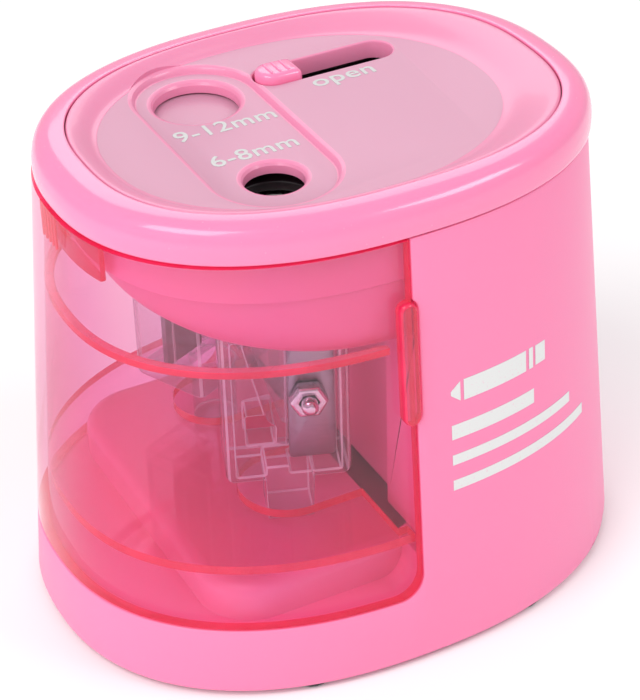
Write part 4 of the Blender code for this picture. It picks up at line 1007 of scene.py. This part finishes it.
class SHARPENER_OT_mechanism(bpy.types.Operator):
    """Finish the parts that keep the frame's own shape"""
    bl_idname = "sharpener.mechanism"
    bl_label = "Mechanism"

    def execute(self, context):
        slots = {part["node"]: part["material_slot"] for part in frame["record"]["subparts"]}
        by_slot = {"pink_shell": "shell", "pink_gloss": "rim", "pink_panel": "panel", "clear": "cutter_clear",
                   "white_gear": "gear", "steel": "steel", "motor_case": "motor", "rubber": "rubber",
                   "cell_wrap": "cell", "switch_black": "black"}
        bodies = frame["record"]["behaviour"]["bodies"]
        home = {node: body for body, nodes in bodies.items() for node in nodes}
        rounded = {"gear_cover": 0.25, "base_plate": 0.2, "battery_door": 0.25, "bulkhead": 0.3,
                   "motor_cradle": 0.4, "interlock_switch": 0.15, "motor_can": 0.25}
        for node, obj in frame["nodes"].items():
            if obj.hide_render:
                continue
            finish = "black" if node == "gear_cover" else by_slot[slots[node]]
            if node in rounded:
                mesh = soften(frame_copy(node), rounded[node], 2)
                piece(f"{node}_finished", mesh, home[node], [finish], (node,))
            else:
                obj.data.materials.clear()
                obj.data.materials.append(MATERIALS[finish])
        return {"FINISHED"}


class SHARPENER_OT_stage(bpy.types.Operator):
    """Set the floor, the lights and the camera"""
    bl_idname = "sharpener.stage"
    bl_label = "Stage"

    def execute(self, context):
        scene = context.scene
        scene.view_settings.view_transform = "Standard"
        scene.view_settings.look = "None"
        if hasattr(scene, "cycles"):
            scene.cycles.transparent_max_bounces = 32
        disc = oval(3000, 3000, 2.0, 0.0, 64)
        floor = put(skin([(disc, -2.0), (disc, 0.0)]), "floor")
        floor.data.materials.append(floor_paper())
        world = bpy.data.worlds.new("studio")
        world.use_nodes = True
        back = world.node_tree.nodes["Background"]
        back.inputs["Color"].default_value = (1.0, 1.0, 1.0, 1.0)
        back.inputs["Strength"].default_value = 0.60
        scene.world = world
        self.lamp("left_softbox", (-0.53, -0.24, 0.817), 0.75, (0.46, 0.34), 2.2)
        self.lamp("right_softbox", (0.555, -0.485, 0.679), 0.75, (0.34, 0.24), 1.5)
        self.lamp("back_softbox", (0.30, 0.72, 0.62), 0.9, (0.6, 0.4), 1.5)
        fill = self.lamp("drawer_fill", (-0.90, -0.25, 0.30), 0.7, (0.5, 0.3), 1.6)
        fill.visible_glossy = False
        scene.camera = self.camera()
        return {"FINISHED"}

    def camera(self):
        """The camera, turned about Z, lifted and rolled by angles in degrees."""
        camera = bpy.data.cameras.new("camera")
        camera.lens, camera.sensor_width, camera.clip_start, camera.clip_end = 118.286, 36.0, 0.02, 20.0
        seat = bpy.data.objects.new("camera", camera)
        bpy.context.scene.collection.objects.link(seat)
        turn, lift, roll = (math.radians(v) for v in (-26.48, 34.05, -1.82))
        back = Vector((math.sin(turn) * math.cos(lift), -math.cos(turn) * math.cos(lift), math.sin(lift)))
        right = Vector((math.cos(turn), math.sin(turn), 0))
        up = back.cross(right)
        right, up = (math.cos(roll) * right + math.sin(roll) * up,
                     math.cos(roll) * up - math.sin(roll) * right)
        matrix = Matrix((right, up, back)).transposed().to_4x4()
        matrix.translation = Vector((-129.6, -260.5, 231.0)) * MM
        seat.matrix_world = matrix
        return seat

    def lamp(self, name, towards, distance, size, power):
        light = bpy.data.lights.new(name, "AREA")
        light.shape, light.size, light.size_y, light.energy = "RECTANGLE", *size, power
        obj = bpy.data.objects.new(name, light)
        bpy.context.scene.collection.objects.link(obj)
        aim = Vector(towards).normalized()
        middle = Vector((0, 0, 60 * MM))
        facing = aim.to_track_quat("Z", "Y").to_matrix().to_4x4()
        obj.matrix_world = Matrix.Translation(middle + aim * distance) @ facing
        return obj


# ---------------------------------------------------------------- panel and registration

STEPS = (SHARPENER_OT_finishes, SHARPENER_OT_body, SHARPENER_OT_rim, SHARPENER_OT_panel, SHARPENER_OT_shutter,
         SHARPENER_OT_labels, SHARPENER_OT_housing, SHARPENER_OT_drawer, SHARPENER_OT_cutters,
         SHARPENER_OT_mechanism, SHARPENER_OT_stage)


class SHARPENER_PT_sidebar(bpy.types.Panel):
    """Sizes, colours and the steps that build the sharpener"""
    bl_idname = "SHARPENER_PT_sidebar"
    bl_label = "Sharpener"
    bl_space_type = "VIEW_3D"
    bl_region_type = "UI"
    bl_category = "Sharpener"

    def draw(self, context):
        for settings in (context.scene.sharpener_form, context.scene.sharpener_finish):
            for key in settings.bl_rna.properties.keys():
                if key not in ("rna_type", "name"):
                    self.layout.prop(settings, key)
        for step in STEPS:
            self.layout.operator(step.bl_idname)


CLASSES = (SharpenerForm, SharpenerFinish, *STEPS, SHARPENER_PT_sidebar)


def register():
    for cls in CLASSES:
        bpy.utils.register_class(cls)
    bpy.types.Scene.sharpener_form = bpy.props.PointerProperty(type=SharpenerForm)
    bpy.types.Scene.sharpener_finish = bpy.props.PointerProperty(type=SharpenerFinish)


def unregister():
    del bpy.types.Scene.sharpener_form
    del bpy.types.Scene.sharpener_finish
    for cls in reversed(CLASSES):
        bpy.utils.unregister_class(cls)


def main():
    register()
    for step in STEPS:
        group, name = step.bl_idname.split(".")
        getattr(getattr(bpy.ops, group), name)()


if __name__ == "__main__":
    main()
